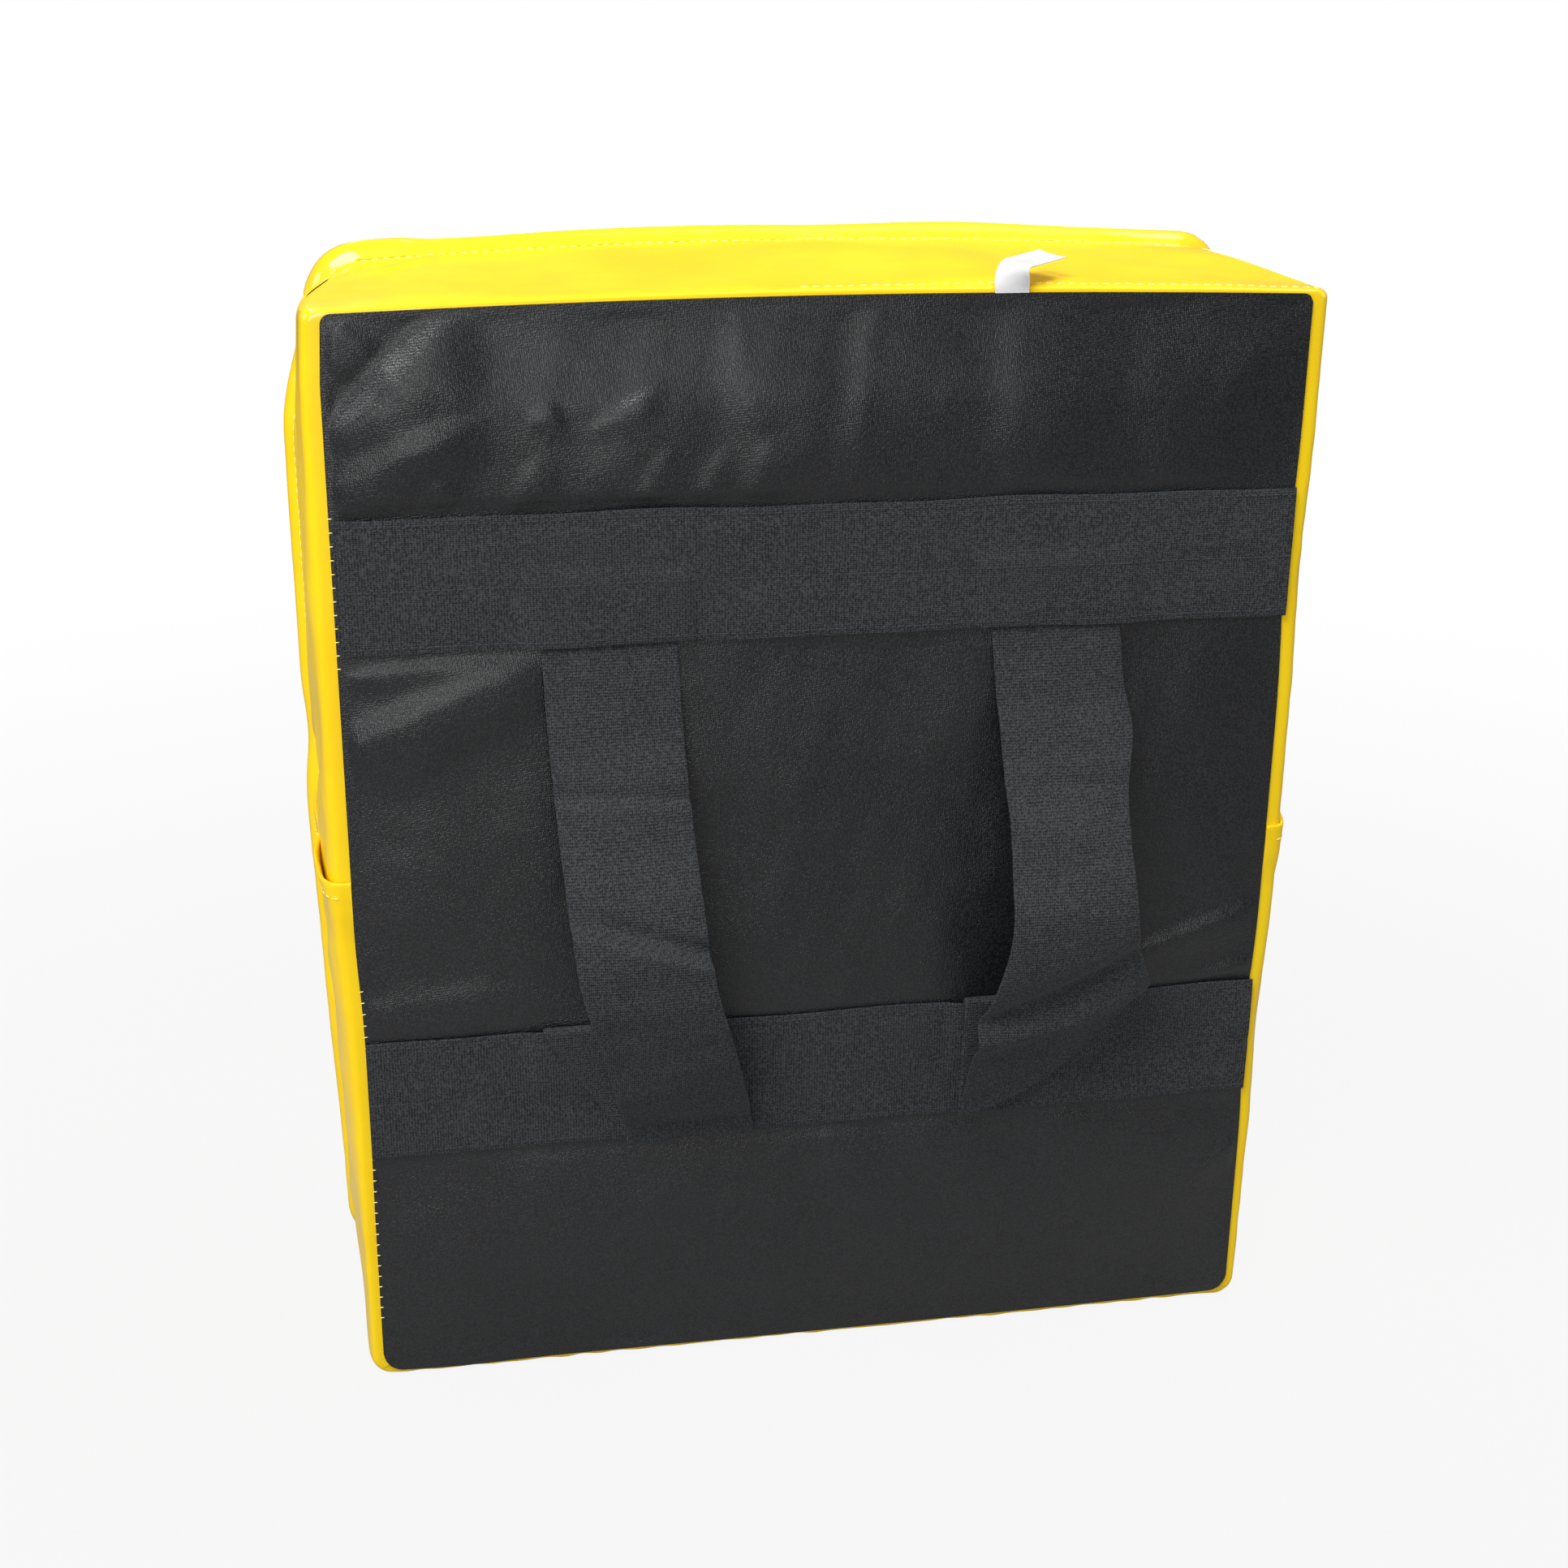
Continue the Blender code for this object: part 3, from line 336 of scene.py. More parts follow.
def whole_loop():
    """Stops round the cover, clockwise as the back is seen, from the bottom left corner."""
    left, right = (side_stops(side, SIDE_LOW, SIDE_HIGH, SIDE_STEPS) for side in (-1, 1))
    top, bottom = (run_stops(kind, RUN_STEPS)[1:-1] for kind in ("top", "bottom"))
    upwards = corner_stops(-1, -1) + left + corner_stops(-1, 1)
    return upwards + top + corner_stops(1, 1) + right[::-1] + corner_stops(1, -1) + bottom


def gusset_depths():
    """Depths from the back seam to the front seam, closer together near both."""
    shares = np.linspace(0, 1, DEPTH_STEPS + 1)
    crowded = np.where(shares < 0.5, 0.5 * (2 * shares) ** 2.2, 1 - 0.5 * (2 * (1 - shares)) ** 1.6)
    return BACK_SEAM + crowded * (SEAM_DEPTH - BACK_SEAM)


def surface(stops, depths):
    """Rows of points, one for each depth."""
    return np.array([[cover_point(stop, depth) for stop in stops] for depth in depths])


def normals_of(points, closed=False):
    """Unit directions across a grid of points, from its rows and columns."""
    if closed:
        wide = np.concatenate([points[:, -2:], points, points[:, :2]], axis=1)
        along = np.gradient(wide, axis=1)[:, 2:-2]
    else:
        along = np.gradient(points, axis=1)
    down = np.gradient(points, axis=0)
    cross = np.cross(along, down)
    return cross / np.maximum(np.linalg.norm(cross, axis=-1, keepdims=True), 1e-12)


# Meshes

def add_object(name, data):
    """Puts a mesh, a lamp or a camera into the scene."""
    made = bpy.data.objects.new(name, data)
    bpy.context.scene.collection.objects.link(made)
    return made


def make_mesh(name, vertices, faces, material, sharp):
    mesh = bpy.data.meshes.new(name)
    mesh.from_pydata([tuple(v) for v in vertices], [], faces)
    mesh.validate()
    mesh.shade_smooth()
    mesh.set_sharp_from_angle(angle=math.radians(sharp))
    mesh.materials.append(material)
    return add_object(name, mesh)


def grid_faces(rows, columns, start, closed, flip=False):
    faces = []
    for row in range(rows - 1):
        for column in range(columns if closed else columns - 1):
            following = (column + 1) % columns
            a = start + row * columns + column
            b = start + row * columns + following
            quad = (a, b, b + columns, a + columns)
            faces.append(quad[::-1] if flip else quad)
    return faces


def thick_sheet(name, outer, inner, material, closed=False, capped=False, sharp=50):
    """A solid between two grids of points. Closed joins its rows' ends, and capped fills its last row."""
    rows, columns = outer.shape[:2]
    count = rows * columns
    vertices = np.concatenate([outer.reshape(-1, 3), inner.reshape(-1, 3)])
    faces = grid_faces(rows, columns, 0, closed) + grid_faces(rows, columns, count, closed, True)
    for column in range(columns if closed else columns - 1):
        following = (column + 1) % columns
        for row in (0,) if capped else (0, rows - 1):
            a, b = row * columns + column, row * columns + following
            quad = (a, b, b + count, a + count)
            faces.append(quad if row else quad[::-1])
    if capped:
        last = range((rows - 1) * columns, rows * columns)
        faces.append(tuple(last))
        faces.append(tuple(count + point for point in last)[::-1])
    if not closed:
        for row in range(rows - 1):
            for column in (0, columns - 1):
                a, b = row * columns + column, (row + 1) * columns + column
                quad = (a, b, b + count, a + count)
                faces.append(quad[::-1] if column else quad)
    made = make_mesh(name, vertices, faces, material, sharp)
    face_out(made)
    return made


def face_out(made):
    """Turns the faces outwards where the closed body is inside out."""
    mesh = made.data
    mesh.calc_loop_triangles()
    volume = sum(
        Vector(mesh.vertices[t.vertices[0]].co).dot(
            Vector(mesh.vertices[t.vertices[1]].co).cross(mesh.vertices[t.vertices[2]].co)
        )
        for t in mesh.loop_triangles
    )
    if volume < 0:
        mesh.flip_normals()


def dress(made, body, slot, *nodes):
    """Says what a piece rides on and the CAD nodes that it stands for, which are hidden; slot is not used."""
    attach(made, body)
    if nodes:
        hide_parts(*nodes)
    return made


def capsule(length, radius):
    """A stitch seen as a short rounded thread, flattened where it enters the cloth."""
    around = 8
    half = [(0.15, 1.0, 0.10), (0.40, 0.80, -0.12), (0.5, 0.30, -0.55)]
    rings = [(-place, size, rise) for place, size, rise in half[::-1]] + half
    points = []
    for place, size, rise in rings:
        for step in range(around):
            angle = 2 * math.pi * step / around
            side, height = math.cos(angle) * size, math.sin(angle) * size + rise
            points.append((place * length, side * radius, height * radius))
    faces = grid_faces(len(rings), around, 0, True)
    faces.append(tuple(range(around)))
    faces.append(tuple(range((len(rings) - 1) * around, len(rings) * around))[::-1])
    return np.array(points), faces


def stitch_row(name, path, outward, material, kind, slant=0.0):
    """Stitches along a path of points, each with its outward direction."""
    pitch, length, radius = kind
    steps = np.linalg.norm(np.diff(path, axis=0), axis=1)
    run = np.concatenate([[0], np.cumsum(steps)])
    count = max(1, int(run[-1] / pitch))
    marks = (np.arange(count) + 0.5) * run[-1] / count
    template, template_faces = capsule(length, radius)
    vertices, faces = [], []

    def read(values, mark):
        return np.array([np.interp(mark, run, values[:, axis]) for axis in range(3)])

    for mark in marks:
        place = read(path, mark)
        up = read(outward, mark)
        up /= np.linalg.norm(up)
        along = read(path, mark + 0.001) - read(path, mark - 0.001)
        along -= up * along.dot(up)
        along /= np.linalg.norm(along)
        across = np.cross(up, along)
        turned = along * math.cos(slant) + across * math.sin(slant)
        across = np.cross(up, turned)
        start = len(vertices) * len(template)
        vertices.append(place + template[:, :1] * turned + template[:, 1:2] * across + template[:, 2:] * up)
        faces += [tuple(start + index for index in face) for face in template_faces]
    return make_mesh(name, np.concatenate(vertices), faces, material, 60)


# Materials

class Shader:
    """A material's node tree, with short ways to add nodes and join them."""

    def __init__(self, name):
        self.material = bpy.data.materials.new(name)
        self.material.use_nodes = True
        self.tree = self.material.node_tree
        self.surface = self.tree.nodes["Principled BSDF"]
        self.place = self.add("ShaderNodeTexCoord").outputs["Object"]

    def add(self, kind, **settings):
        node = self.tree.nodes.new(kind)
        for key, value in settings.items():
            setattr(node, key, value)
        return node

    def join(self, source, target):
        self.tree.links.new(source, target)

    def set(self, **values):
        for key, value in values.items():
            self.surface.inputs[key.replace("_", " ")].default_value = value

    def scaled(self, x=1.0, y=1.0, z=1.0, turn=(0, 0, 0)):
        node = self.add("ShaderNodeMapping")
        node.inputs["Scale"].default_value = (x, y, z)
        node.inputs["Rotation"].default_value = turn
        self.join(self.place, node.inputs["Vector"])
        return node.outputs["Vector"]

    def noise(self, scale, detail, vector=None):
        node = self.add("ShaderNodeTexNoise")
        node.inputs["Scale"].default_value = scale
        node.inputs["Detail"].default_value = detail
        node.inputs["Roughness"].default_value = 0.55
        self.join(vector or self.place, node.inputs["Vector"])
        return node.outputs["Fac"]

    def cells(self, scale, feature="F1"):
        node = self.add("ShaderNodeTexVoronoi", feature=feature)
        node.inputs["Scale"].default_value = scale
        self.join(self.place, node.inputs["Vector"])
        return node.outputs["Distance"]

    def wave(self, scale, direction, vector, distortion=0.0):
        node = self.add("ShaderNodeTexWave", bands_direction=direction)
        node.inputs["Scale"].default_value = scale
        node.inputs["Distortion"].default_value = distortion
        node.inputs["Detail"].default_value = 1.0
        self.join(vector, node.inputs["Vector"])
        return node.outputs["Fac"]

    def math(self, operation, first, second):
        node = self.add("ShaderNodeMath", operation=operation)
        for socket, value in zip(node.inputs, (first, second)):
            if isinstance(value, (int, float)):
                socket.default_value = value
            else:
                self.join(value, socket)
        return node.outputs[0]

    def ramp(self, value, *stops):
        """Colours or greys at places from 0 to 1."""
        node = self.add("ShaderNodeValToRGB")
        ramp = node.color_ramp
        while len(ramp.elements) < len(stops):
            ramp.elements.new(0.5)
        for element, (place, colour) in zip(ramp.elements, stops):
            element.position = place
            if isinstance(colour, (int, float)):
                colour = (colour, colour, colour)
            element.color = (*colour, 1.0)
        self.join(value, node.inputs["Fac"])
        return node.outputs["Color"]

    def mix(self, share, first, second):
        node = self.add("ShaderNodeMix", data_type="RGBA")
        for socket, value in zip((node.inputs[0], node.inputs[6], node.inputs[7]), (share, first, second)):
            if isinstance(value, (int, float)):
                socket.default_value = value
            elif isinstance(value, tuple):
                socket.default_value = (*value, 1.0)
            else:
                self.join(value, socket)
        return node.outputs[2]

    def eased(self, value, low, high, first, last):
        """first up to low, last from high on, and smooth between them."""
        node = self.add("ShaderNodeMapRange", interpolation_type="SMOOTHSTEP")
        for socket, number in zip(("From Min", "From Max", "To Min", "To Max"), (low, high, first, last)):
            node.inputs[socket].default_value = number
        self.join(value, node.inputs["Value"])
        return node.outputs["Result"]

    def either(self, share, first, second):
        """One shader or the other, by a share."""
        node = self.add("ShaderNodeMixShader")
        for socket, source in zip(node.inputs, (share, first, second)):
            self.join(source, socket)
        return node.outputs[0]

    def relief(self, height, strength, distance, below=None):
        node = self.add("ShaderNodeBump")
        node.inputs["Strength"].default_value = strength
        node.inputs["Distance"].default_value = distance
        self.join(height, node.inputs["Height"])
        if below is not None:
            self.join(below, node.inputs["Normal"])
        return node.outputs["Normal"]

    def finish(self, colour=None, roughness=None, normal=None):
        for value, socket in ((colour, "Base Color"), (roughness, "Roughness"), (normal, "Normal")):
            if value is not None:
                self.join(value, self.surface.inputs[socket])
        return self.material


def yellow_vinyl():
    """Glossy coated cloth with a fine leather grain and slightly deeper colour in places."""
    made = Shader("yellow_vinyl")
    tint = made.ramp(made.noise(14, 4), (0.30, (0.95, 0.61, 0.005)), (0.70, (0.98, 0.69, 0.009)))
    scuffs = made.ramp(made.noise(95, 5), (0.62, 0.0), (0.80, 1.0))
    colour = made.mix(made.math("MULTIPLY", scuffs, 0.14), tint, (0.86, 0.58, 0.02))
    grain = made.cells(1500, feature="SMOOTH_F1")
    broad = made.noise(60, 3)
    normal = made.relief(broad, 0.06, 0.003)
    normal = made.relief(grain, 0.07, 0.00025, normal)
    roughness = made.ramp(made.noise(40, 4), (0.35, 0.34), (0.75, 0.46))
    # Where it is pulled over the upper front corners it is shinier
    even = made.add("ShaderNodeVectorMath", operation="ABSOLUTE")
    made.join(made.place, even.inputs[0])
    away = made.add("ShaderNodeVectorMath", operation="DISTANCE")
    away.inputs[1].default_value = (0.245, 0.098, 0.600)
    made.join(even.outputs[0], away.inputs[0])
    coat = made.surface.inputs
    made.join(made.ramp(away.outputs["Value"], (0.030, 0.90), (0.065, 0.10)), coat["Coat Weight"])
    made.join(made.relief(broad, 0.10, 0.003), coat["Coat Normal"])
    made.set(Coat_Roughness=0.07, Specular_IOR_Level=0.20)
    return made.finish(colour, roughness, normal)


def black_vinyl():
    """Coated canvas: a fine woven emboss under a soft sheen."""
    made = Shader("black_vinyl")
    turned = made.scaled(turn=(0, 0.12, 0))
    threads = made.math("MULTIPLY", made.wave(290, "X", turned, 0.7), made.wave(250, "Z", turned, 0.7))
    speckle = made.ramp(made.noise(900, 1), (0.42, 0.0), (0.62, 1.0))
    weave = made.math("ADD", made.math("MULTIPLY", threads, 0.45), made.math("MULTIPLY", speckle, 0.55))
    tint = made.ramp(made.noise(9, 4), (0.30, (0.002, 0.0026, 0.0032)), (0.75, (0.005, 0.0053, 0.0060)))
    colour = made.mix(made.math("MULTIPLY", weave, 0.8), tint, (0.027, 0.028, 0.031))
    roughness = made.ramp(made.noise(30, 4), (0.3, 0.28), (0.75, 0.36))
    normal = made.relief(made.noise(120, 4), 0.10, 0.0015)
    normal = made.relief(weave, 0.40, 0.0004, normal)
    made.set(Specular_IOR_Level=0.52)
    return made.finish(colour, roughness, normal)


def webbing(name, lengthwise, crosswise):
    """Flat woven webbing: fine ribs across its length, broken by the warp threads."""
    made = Shader(name)
    spread = made.scaled()
    ribs = made.wave(212, lengthwise, spread, 1.2)
    warp = made.wave(300, crosswise, spread, 1.4)
    weave = made.math("MULTIPLY", ribs, warp)
    fuzz = made.ramp(made.noise(920, 1), (0.42, 0.0), (0.62, 1.0))
    worn = made.noise(26, 5)
    tint = made.ramp(worn, (0.30, (0.008, 0.0085, 0.0095)), (0.75, (0.013, 0.0135, 0.0150)))
    woven = made.mix(weave, tint, (0.052, 0.055, 0.060))
    colour = made.mix(made.math("MULTIPLY", fuzz, 0.34), woven, (0.112, 0.116, 0.126))
    normal = made.relief(made.noise(500, 3), 0.20, 0.0003)
    normal = made.relief(weave, 0.75, 0.0006, normal)
    roughness = made.ramp(weave, (0.0, 0.82), (1.0, 0.62))
    made.set(Sheen_Weight=0.05, Sheen_Roughness=0.45, Specular_IOR_Level=0.22)
    return made.finish(colour, roughness, normal)


def thread(name, dark, light):
    """Sewing thread, with the slanting lines of its twist."""
    made = Shader(name)
    twist = made.wave(900, "DIAGONAL", made.scaled(), 1.0)
    colour = made.ramp(twist, (0.2, dark), (0.8, light))
    normal = made.relief(twist, 0.5, 0.0002)
    made.set(Roughness=0.55, Sheen_Weight=0.2)
    return made.finish(colour, None, normal)


def zip_cloth():
    """Tightly woven tape."""
    made = Shader("zip_cloth")
    weave = made.math("MULTIPLY", made.wave(700, "X", made.scaled()), made.wave(700, "Y", made.scaled()))
    dark, light = (0.018, 0.018, 0.020), (0.035, 0.035, 0.038)
    colour = made.mix(weave, made.ramp(made.noise(50, 4), (0.3, dark), (0.7, light)), light)
    normal = made.relief(weave, 0.4, 0.0002)
    made.set(Roughness=0.8, Sheen_Weight=0.2)
    return made.finish(colour, None, normal)


def white_tape():
    """Plain woven tape that lets a little light through."""
    made = Shader("white_tape")
    weave = made.math("MULTIPLY", made.wave(560, "X", made.scaled()), made.wave(560, "Z", made.scaled()))
    colour = made.ramp(made.noise(80, 3), (0.3, (0.58, 0.58, 0.585)), (0.7, (0.66, 0.66, 0.665)))
    normal = made.relief(weave, 0.35, 0.00015)
    made.set(Roughness=0.55, Sheen_Weight=0.15)
    made.set(Subsurface_Weight=0.05, Subsurface_Radius=(0.001, 0.001, 0.001))
    return made.finish(colour, None, normal)


def foam(name, dark, light):
    """Cut foam with open cells."""
    made = Shader(name)
    cells = made.cells(900)
    tint = made.ramp(made.noise(30, 4), (0.3, dark), (0.7, light))
    colour = made.mix(made.ramp(cells, (0.0, 0.0), (0.7, 1.0)), tint, light)
    normal = made.relief(cells, 0.6, 0.0006)
    made.set(Roughness=0.95)
    return made.finish(colour, None, normal)


def plated_zinc():
    """Cast metal with a bright finish that is brushed and handled."""
    made = Shader("plated_zinc")
    colour = made.ramp(made.noise(300, 4), (0.3, (0.52, 0.52, 0.54)), (0.7, (0.70, 0.70, 0.72)))
    roughness = made.ramp(made.noise(500, 4), (0.3, 0.28), (0.7, 0.44))
    normal = made.relief(made.noise(900, 2, made.scaled(1, 8, 1)), 0.12, 0.0002)
    made.set(Metallic=1.0)
    return made.finish(colour, roughness, normal)


def tooth_plastic():
    """Moulded black teeth."""
    made = Shader("tooth_plastic")
    colour = made.ramp(made.noise(400, 3), (0.3, (0.022, 0.022, 0.024)), (0.7, (0.038, 0.038, 0.04)))
    normal = made.relief(made.noise(900, 2), 0.15, 0.0002)
    made.set(Roughness=0.42)
    return made.finish(colour, None, normal)


YELLOW = yellow_vinyl()
BLACK = black_vinyl()
BAND_WEBBING = webbing("band_webbing", "X", "Z")
HANDLE_WEBBING = webbing("handle_webbing", "Z", "X")
YELLOW_THREAD = thread("yellow_thread", (0.90, 0.74, 0.10), (1.0, 0.90, 0.36))
BLACK_THREAD = thread("black_thread", (0.006, 0.006, 0.007), (0.022, 0.022, 0.025))
WHITE_TAPE = white_tape()
ZIP_CLOTH = zip_cloth()
FIRM_FOAM = foam("firm_foam", (0.16, 0.16, 0.17), (0.26, 0.26, 0.27))
SOFT_FOAM = foam("soft_foam", (0.62, 0.58, 0.46), (0.76, 0.72, 0.60))
METAL = plated_zinc()
TEETH = tooth_plastic()


# The cover

def seam_pull(depth):
    """The cloth is drawn in beside its front seam."""
    return -0.0005 * bump(SEAM_DEPTH - depth, 0.0030)


def cover_relief(points, depth, seed):
    """Small puckers by the seams and soft waves between them."""
    front = np.maximum(SEAM_DEPTH - depth, 0.0)
    back = np.maximum(depth - BACK_SEAM, 0.0)
    puckers = field(points, 0.016, seed, (1.0, 6.0, 1.0))
    rise = 0.00022 * puckers * (np.exp(-front / 0.010) + np.exp(-back / 0.008))
    fade = smooth_step(front / 0.025) * smooth_step(back / 0.018)
    rise = rise + fade * 0.0011 * field(points, 0.120, seed + 1, (1.0, 1.6, 1.0))
    rise = rise + fade * 0.0004 * field(points, 0.045, seed + 2, (1.0, 2.2, 1.0))
    return (rise + seam_pull(depth)) * smooth_step(back / 0.003)


SIDE_FOLDS = (
    # Tension folds on the side strips: depth and height of one end and of the other, reach, height
    (0.018, 0.585, 0.062, 0.535, 0.0075, 0.0012),
    (0.132, 0.578, 0.094, 0.540, 0.0070, 0.0011),
    (0.020, 0.520, 0.050, 0.500, 0.0090, 0.0009),
    (0.012, 0.345, 0.058, 0.372, 0.0080, 0.0011),
    (0.138, 0.340, 0.100, 0.362, 0.0075, 0.0010),
    (0.020, 0.262, 0.060, 0.236, 0.0085, 0.0010),
    (0.135, 0.266, 0.105, 0.240, 0.0075, 0.0009),
    (0.015, 0.040, 0.055, 0.082, 0.0080, 0.0011),
    (0.136, 0.042, 0.102, 0.076, 0.0070, 0.0010),
)
CORNER_FOLDS = (
    # x, depth and height of one end and of the other, reach, height
    (-0.228, 0.092, 0.605, -0.190, 0.138, 0.607, 0.0055, 0.0026),
    (-0.262, 0.150, 0.560, -0.258, 0.162, 0.590, 0.0050, 0.0016),
    (-0.235, 0.158, 0.612, -0.200, 0.160, 0.614, 0.0042, 0.0016),
)
FACE_FOLDS = (
    # Folds drawn in from the strike face's corners and edges: start (x, z), end (x, z), reach, height
    ((-0.236, 0.585), (-0.158, 0.498), 0.0090, 0.0016),
    ((-0.205, 0.592), (-0.150, 0.520), 0.0070, 0.0011),
    ((-0.246, 0.552), (-0.196, 0.500), 0.0070, 0.0012),
    ((0.236, 0.585), (0.166, 0.505), 0.0090, 0.0016),
    ((0.200, 0.592), (0.160, 0.530), 0.0070, 0.0010),
    ((0.246, 0.548), (0.190, 0.492), 0.0070, 0.0013),
    ((-0.240, 0.020), (-0.176, 0.096), 0.0090, 0.0015),
    ((-0.246, 0.060), (-0.204, 0.110), 0.0070, 0.0011),
    ((0.240, 0.020), (0.170, 0.102), 0.0090, 0.0015),
    ((0.214, 0.014), (0.168, 0.068), 0.0070, 0.0011),
    ((-0.240, 0.330), (-0.180, 0.345), 0.0080, 0.0009),
    ((0.240, 0.310), (0.176, 0.330), 0.0080, 0.0009),
    ((-0.060, 0.600), (-0.040, 0.540), 0.0100, 0.0009),
    ((0.080, 0.600), (0.070, 0.545), 0.0100, 0.0009),
    ((0.020, 0.012), (0.040, 0.070), 0.0100, 0.0009),
)


def crest(points, start, end, reach, height):
    """A fold along a line in space, running out at its ends."""
    start, along = np.array(start), np.array(end) - np.array(start)
    share = ((points - start) @ along) / along.dot(along)
    distance = np.linalg.norm(points - start - np.clip(share, -0.3, 1.3)[..., None] * along, axis=-1)
    fade = smooth_step((share + 0.3) / 0.6) * smooth_step((1.3 - share) / 0.6)
    return height * fade * bump(distance, reach * (0.5 + 0.5 * fade))


def corner_folds(points):
    """The gathered folds at the top left front corner, where the gussets and the strike face meet."""
    return sum(
        crest(points, (x, BACK_Y + depth, z), (x_end, BACK_Y + depth_end, z_end), reach, height)
        for x, depth, z, x_end, depth_end, z_end, reach, height in CORNER_FOLDS
    )


def side_folds(points):
    """Tension folds by the corners and the laps, a little different on the two sides."""
    rise = 0.0
    for side, shift in ((-1, 0.0), (1, 0.013)):
        reach = side * (PANEL_WIDTH / 2 + 0.015)
        for depth, z, depth_end, z_end, width, height in SIDE_FOLDS:
            start = (reach, BACK_Y + depth, z - shift)
            end = (reach, BACK_Y + depth_end, z_end + shift)
            rise = rise + crest(points, start, end, width, height)
    return rise


def make_gusset(name, stops, seed):
    """A strip of the cover between the seams, with its puckers, as thick as the cloth."""
    base = surface(stops, gusset_depths())
    out = normals_of(base)
    rise = cover_relief(base, base[..., 1] - BACK_Y, seed) + side_folds(base) + corner_folds(base)
    outer = base + out * rise[..., None]
    return thick_sheet(name, outer, outer - out * VINYL, YELLOW), outer, out


def make_cover():
    """The strips of the top and the sides, each with its outer face's points and their directions."""
    top = corner_end(-1, 1) + run_stops("top", 150)[1:-1] + corner_start(1, 1)
    made = {"top": make_gusset("top_gusset_cover", top, 11)}
    for right, side in ((-1, "left"), (1, "right")):
        upper = side_stops(right, LAP_HEIGHT + SEAM_GAP, PANEL_TOP - STRIP_LOW, 84)
        if right < 0:
            upper += corner_start(-1, 1)
        else:
            upper = corner_end(1, 1) + upper[::-1]
        made[side + "_upper"] = make_gusset(f"{side}_upper_cover", upper, 21 if right < 0 else 31)
        made[side + "_lower"] = make_lower_gusset(right, side)
    return made


def lap_lift(right, height, depth):
    """How far the lower strip stands off near its folded edge at half height."""
    near = smooth_step((height - (LAP_HEIGHT - LAP_RAMP)) / LAP_RAMP)
    lip = LIPS[right] * np.sin(math.pi * np.clip(depth / SEAM_DEPTH, 0, 1) ** 0.55)
    lip = lip * (1 - 0.75 * smooth_step((depth - 0.040) / 0.040))
    free = np.clip((height - LAP_HEIGHT) / LAP, 0, 1)
    return near * (VINYL + 2 * CLEARANCE) + lip * free ** 0.8


def rolled_edge(edge, ahead, out, reach, thickness):
    """A hem beyond an edge: half a turn, and then a short way back behind the strip."""
    rows = []
    for angle in math.pi * np.arange(1, 8) / 7:
        rows.append(edge + ahead * math.sin(angle) * reach - out * (1 - math.cos(angle)) / 2 * thickness)
    rows += [rows[-1] - ahead * HEM_STEP * step for step in range(1, 5)]
    return np.stack(rows, axis=1)


def make_lower_gusset(right, side):
    """The lower strip, whose top edge is folded over, rolls out and laps over the upper strip."""
    lower = side_stops(right, STRIP_LOW, LAP_HEIGHT - 0.030, 51)
    lower += side_stops(right, LAP_HEIGHT - 0.028, LAP_HEIGHT + LAP, 21)
    if right < 0:
        stops = corner_end(-1, -1) + lower
    else:
        stops = lower[::-1] + corner_start(1, -1)
    base = surface(stops, gusset_depths())
    out = normals_of(base)
    depth = base[..., 1] - BACK_Y
    height = base[..., 2]
    rise = cover_relief(base, depth, 41 if right < 0 else 51) + side_folds(base)
    rise = rise + lap_lift(right, height, depth)
    wave = field(base, 0.040, 61 if right < 0 else 71, (1.0, 1.6, 1.0))
    rise = rise + 0.0006 * wave * smooth_step((height - LAP_HEIGHT + 0.02) / 0.03)
    outer = base + out * rise[..., None]
    inner = outer - out * VINYL
    # From the corner to the free edge on both sides, so that the hem follows the last column
    order = slice(None, None, -right)
    ahead = outer[:, order][:, -1] - outer[:, order][:, -2]
    ahead = ahead / np.linalg.norm(ahead, axis=-1, keepdims=True)
    edge, edge_out = outer[:, order][:, -1], out[:, order][:, -1]
    skin = 0.8 * VINYL
    hollow = HEM_THICKNESS - 2 * skin
    hem = rolled_edge(edge, ahead, edge_out, 0.55 * HEM_THICKNESS, HEM_THICKNESS)
    lining = rolled_edge(edge - edge_out * skin, ahead, edge_out, 0.4 * hollow, hollow)
    full_outer = np.concatenate([outer[:, order], hem], axis=1)[:, order]
    full_inner = np.concatenate([inner[:, order], lining], axis=1)[:, order]
    return thick_sheet(f"{side}_lower_cover", full_outer, full_inner, YELLOW), outer, out


def slot_edge(x, direction):
    """The depth of a bottom strip's edge beside the zip."""
    return ZIP_DEPTH + direction * (SEAM_GAP / 2 + SLOT_HALF_WIDTH * zip_weight(x))


def make_bottom():
    """The two bottom strips beside the zip."""
    stops = corner_end(1, -1) + run_stops("bottom", 150)[1:-1] + corner_start(-1, -1)
    made = {}
    for name, direction in (("rear", -1), ("front", 1)):
        edges = [slot_edge(cover_point(stop, ZIP_DEPTH)[0], direction) for stop in stops]
        rows = []
        for share in np.linspace(0, 1, 31):
            if direction < 0:
                depths = [BACK_SEAM + (edge - BACK_SEAM) * share ** 1.6 for edge in edges]
            else:
                depths = [edge + (SEAM_DEPTH - edge) * share for edge in edges]
            rows.append([cover_point(stop, depth) for stop, depth in zip(stops, depths)])
        base = np.array(rows)
        out = normals_of(base)
        depth = base[..., 1] - BACK_Y
        rise = 0.0003 * field(base, 0.016, 81 if direction < 0 else 91, (1.0, 5.0, 1.0))
        rise = rise * bump(np.minimum(SEAM_DEPTH - depth, depth), 0.010) - 0.0003
        rise = np.minimum(rise, base[..., 2] * 0.9)
        outer = base + out * rise[..., None]
        made[name] = (thick_sheet(f"bottom_{name}_cover", outer, outer - out * VINYL, YELLOW), outer, out)
    return made


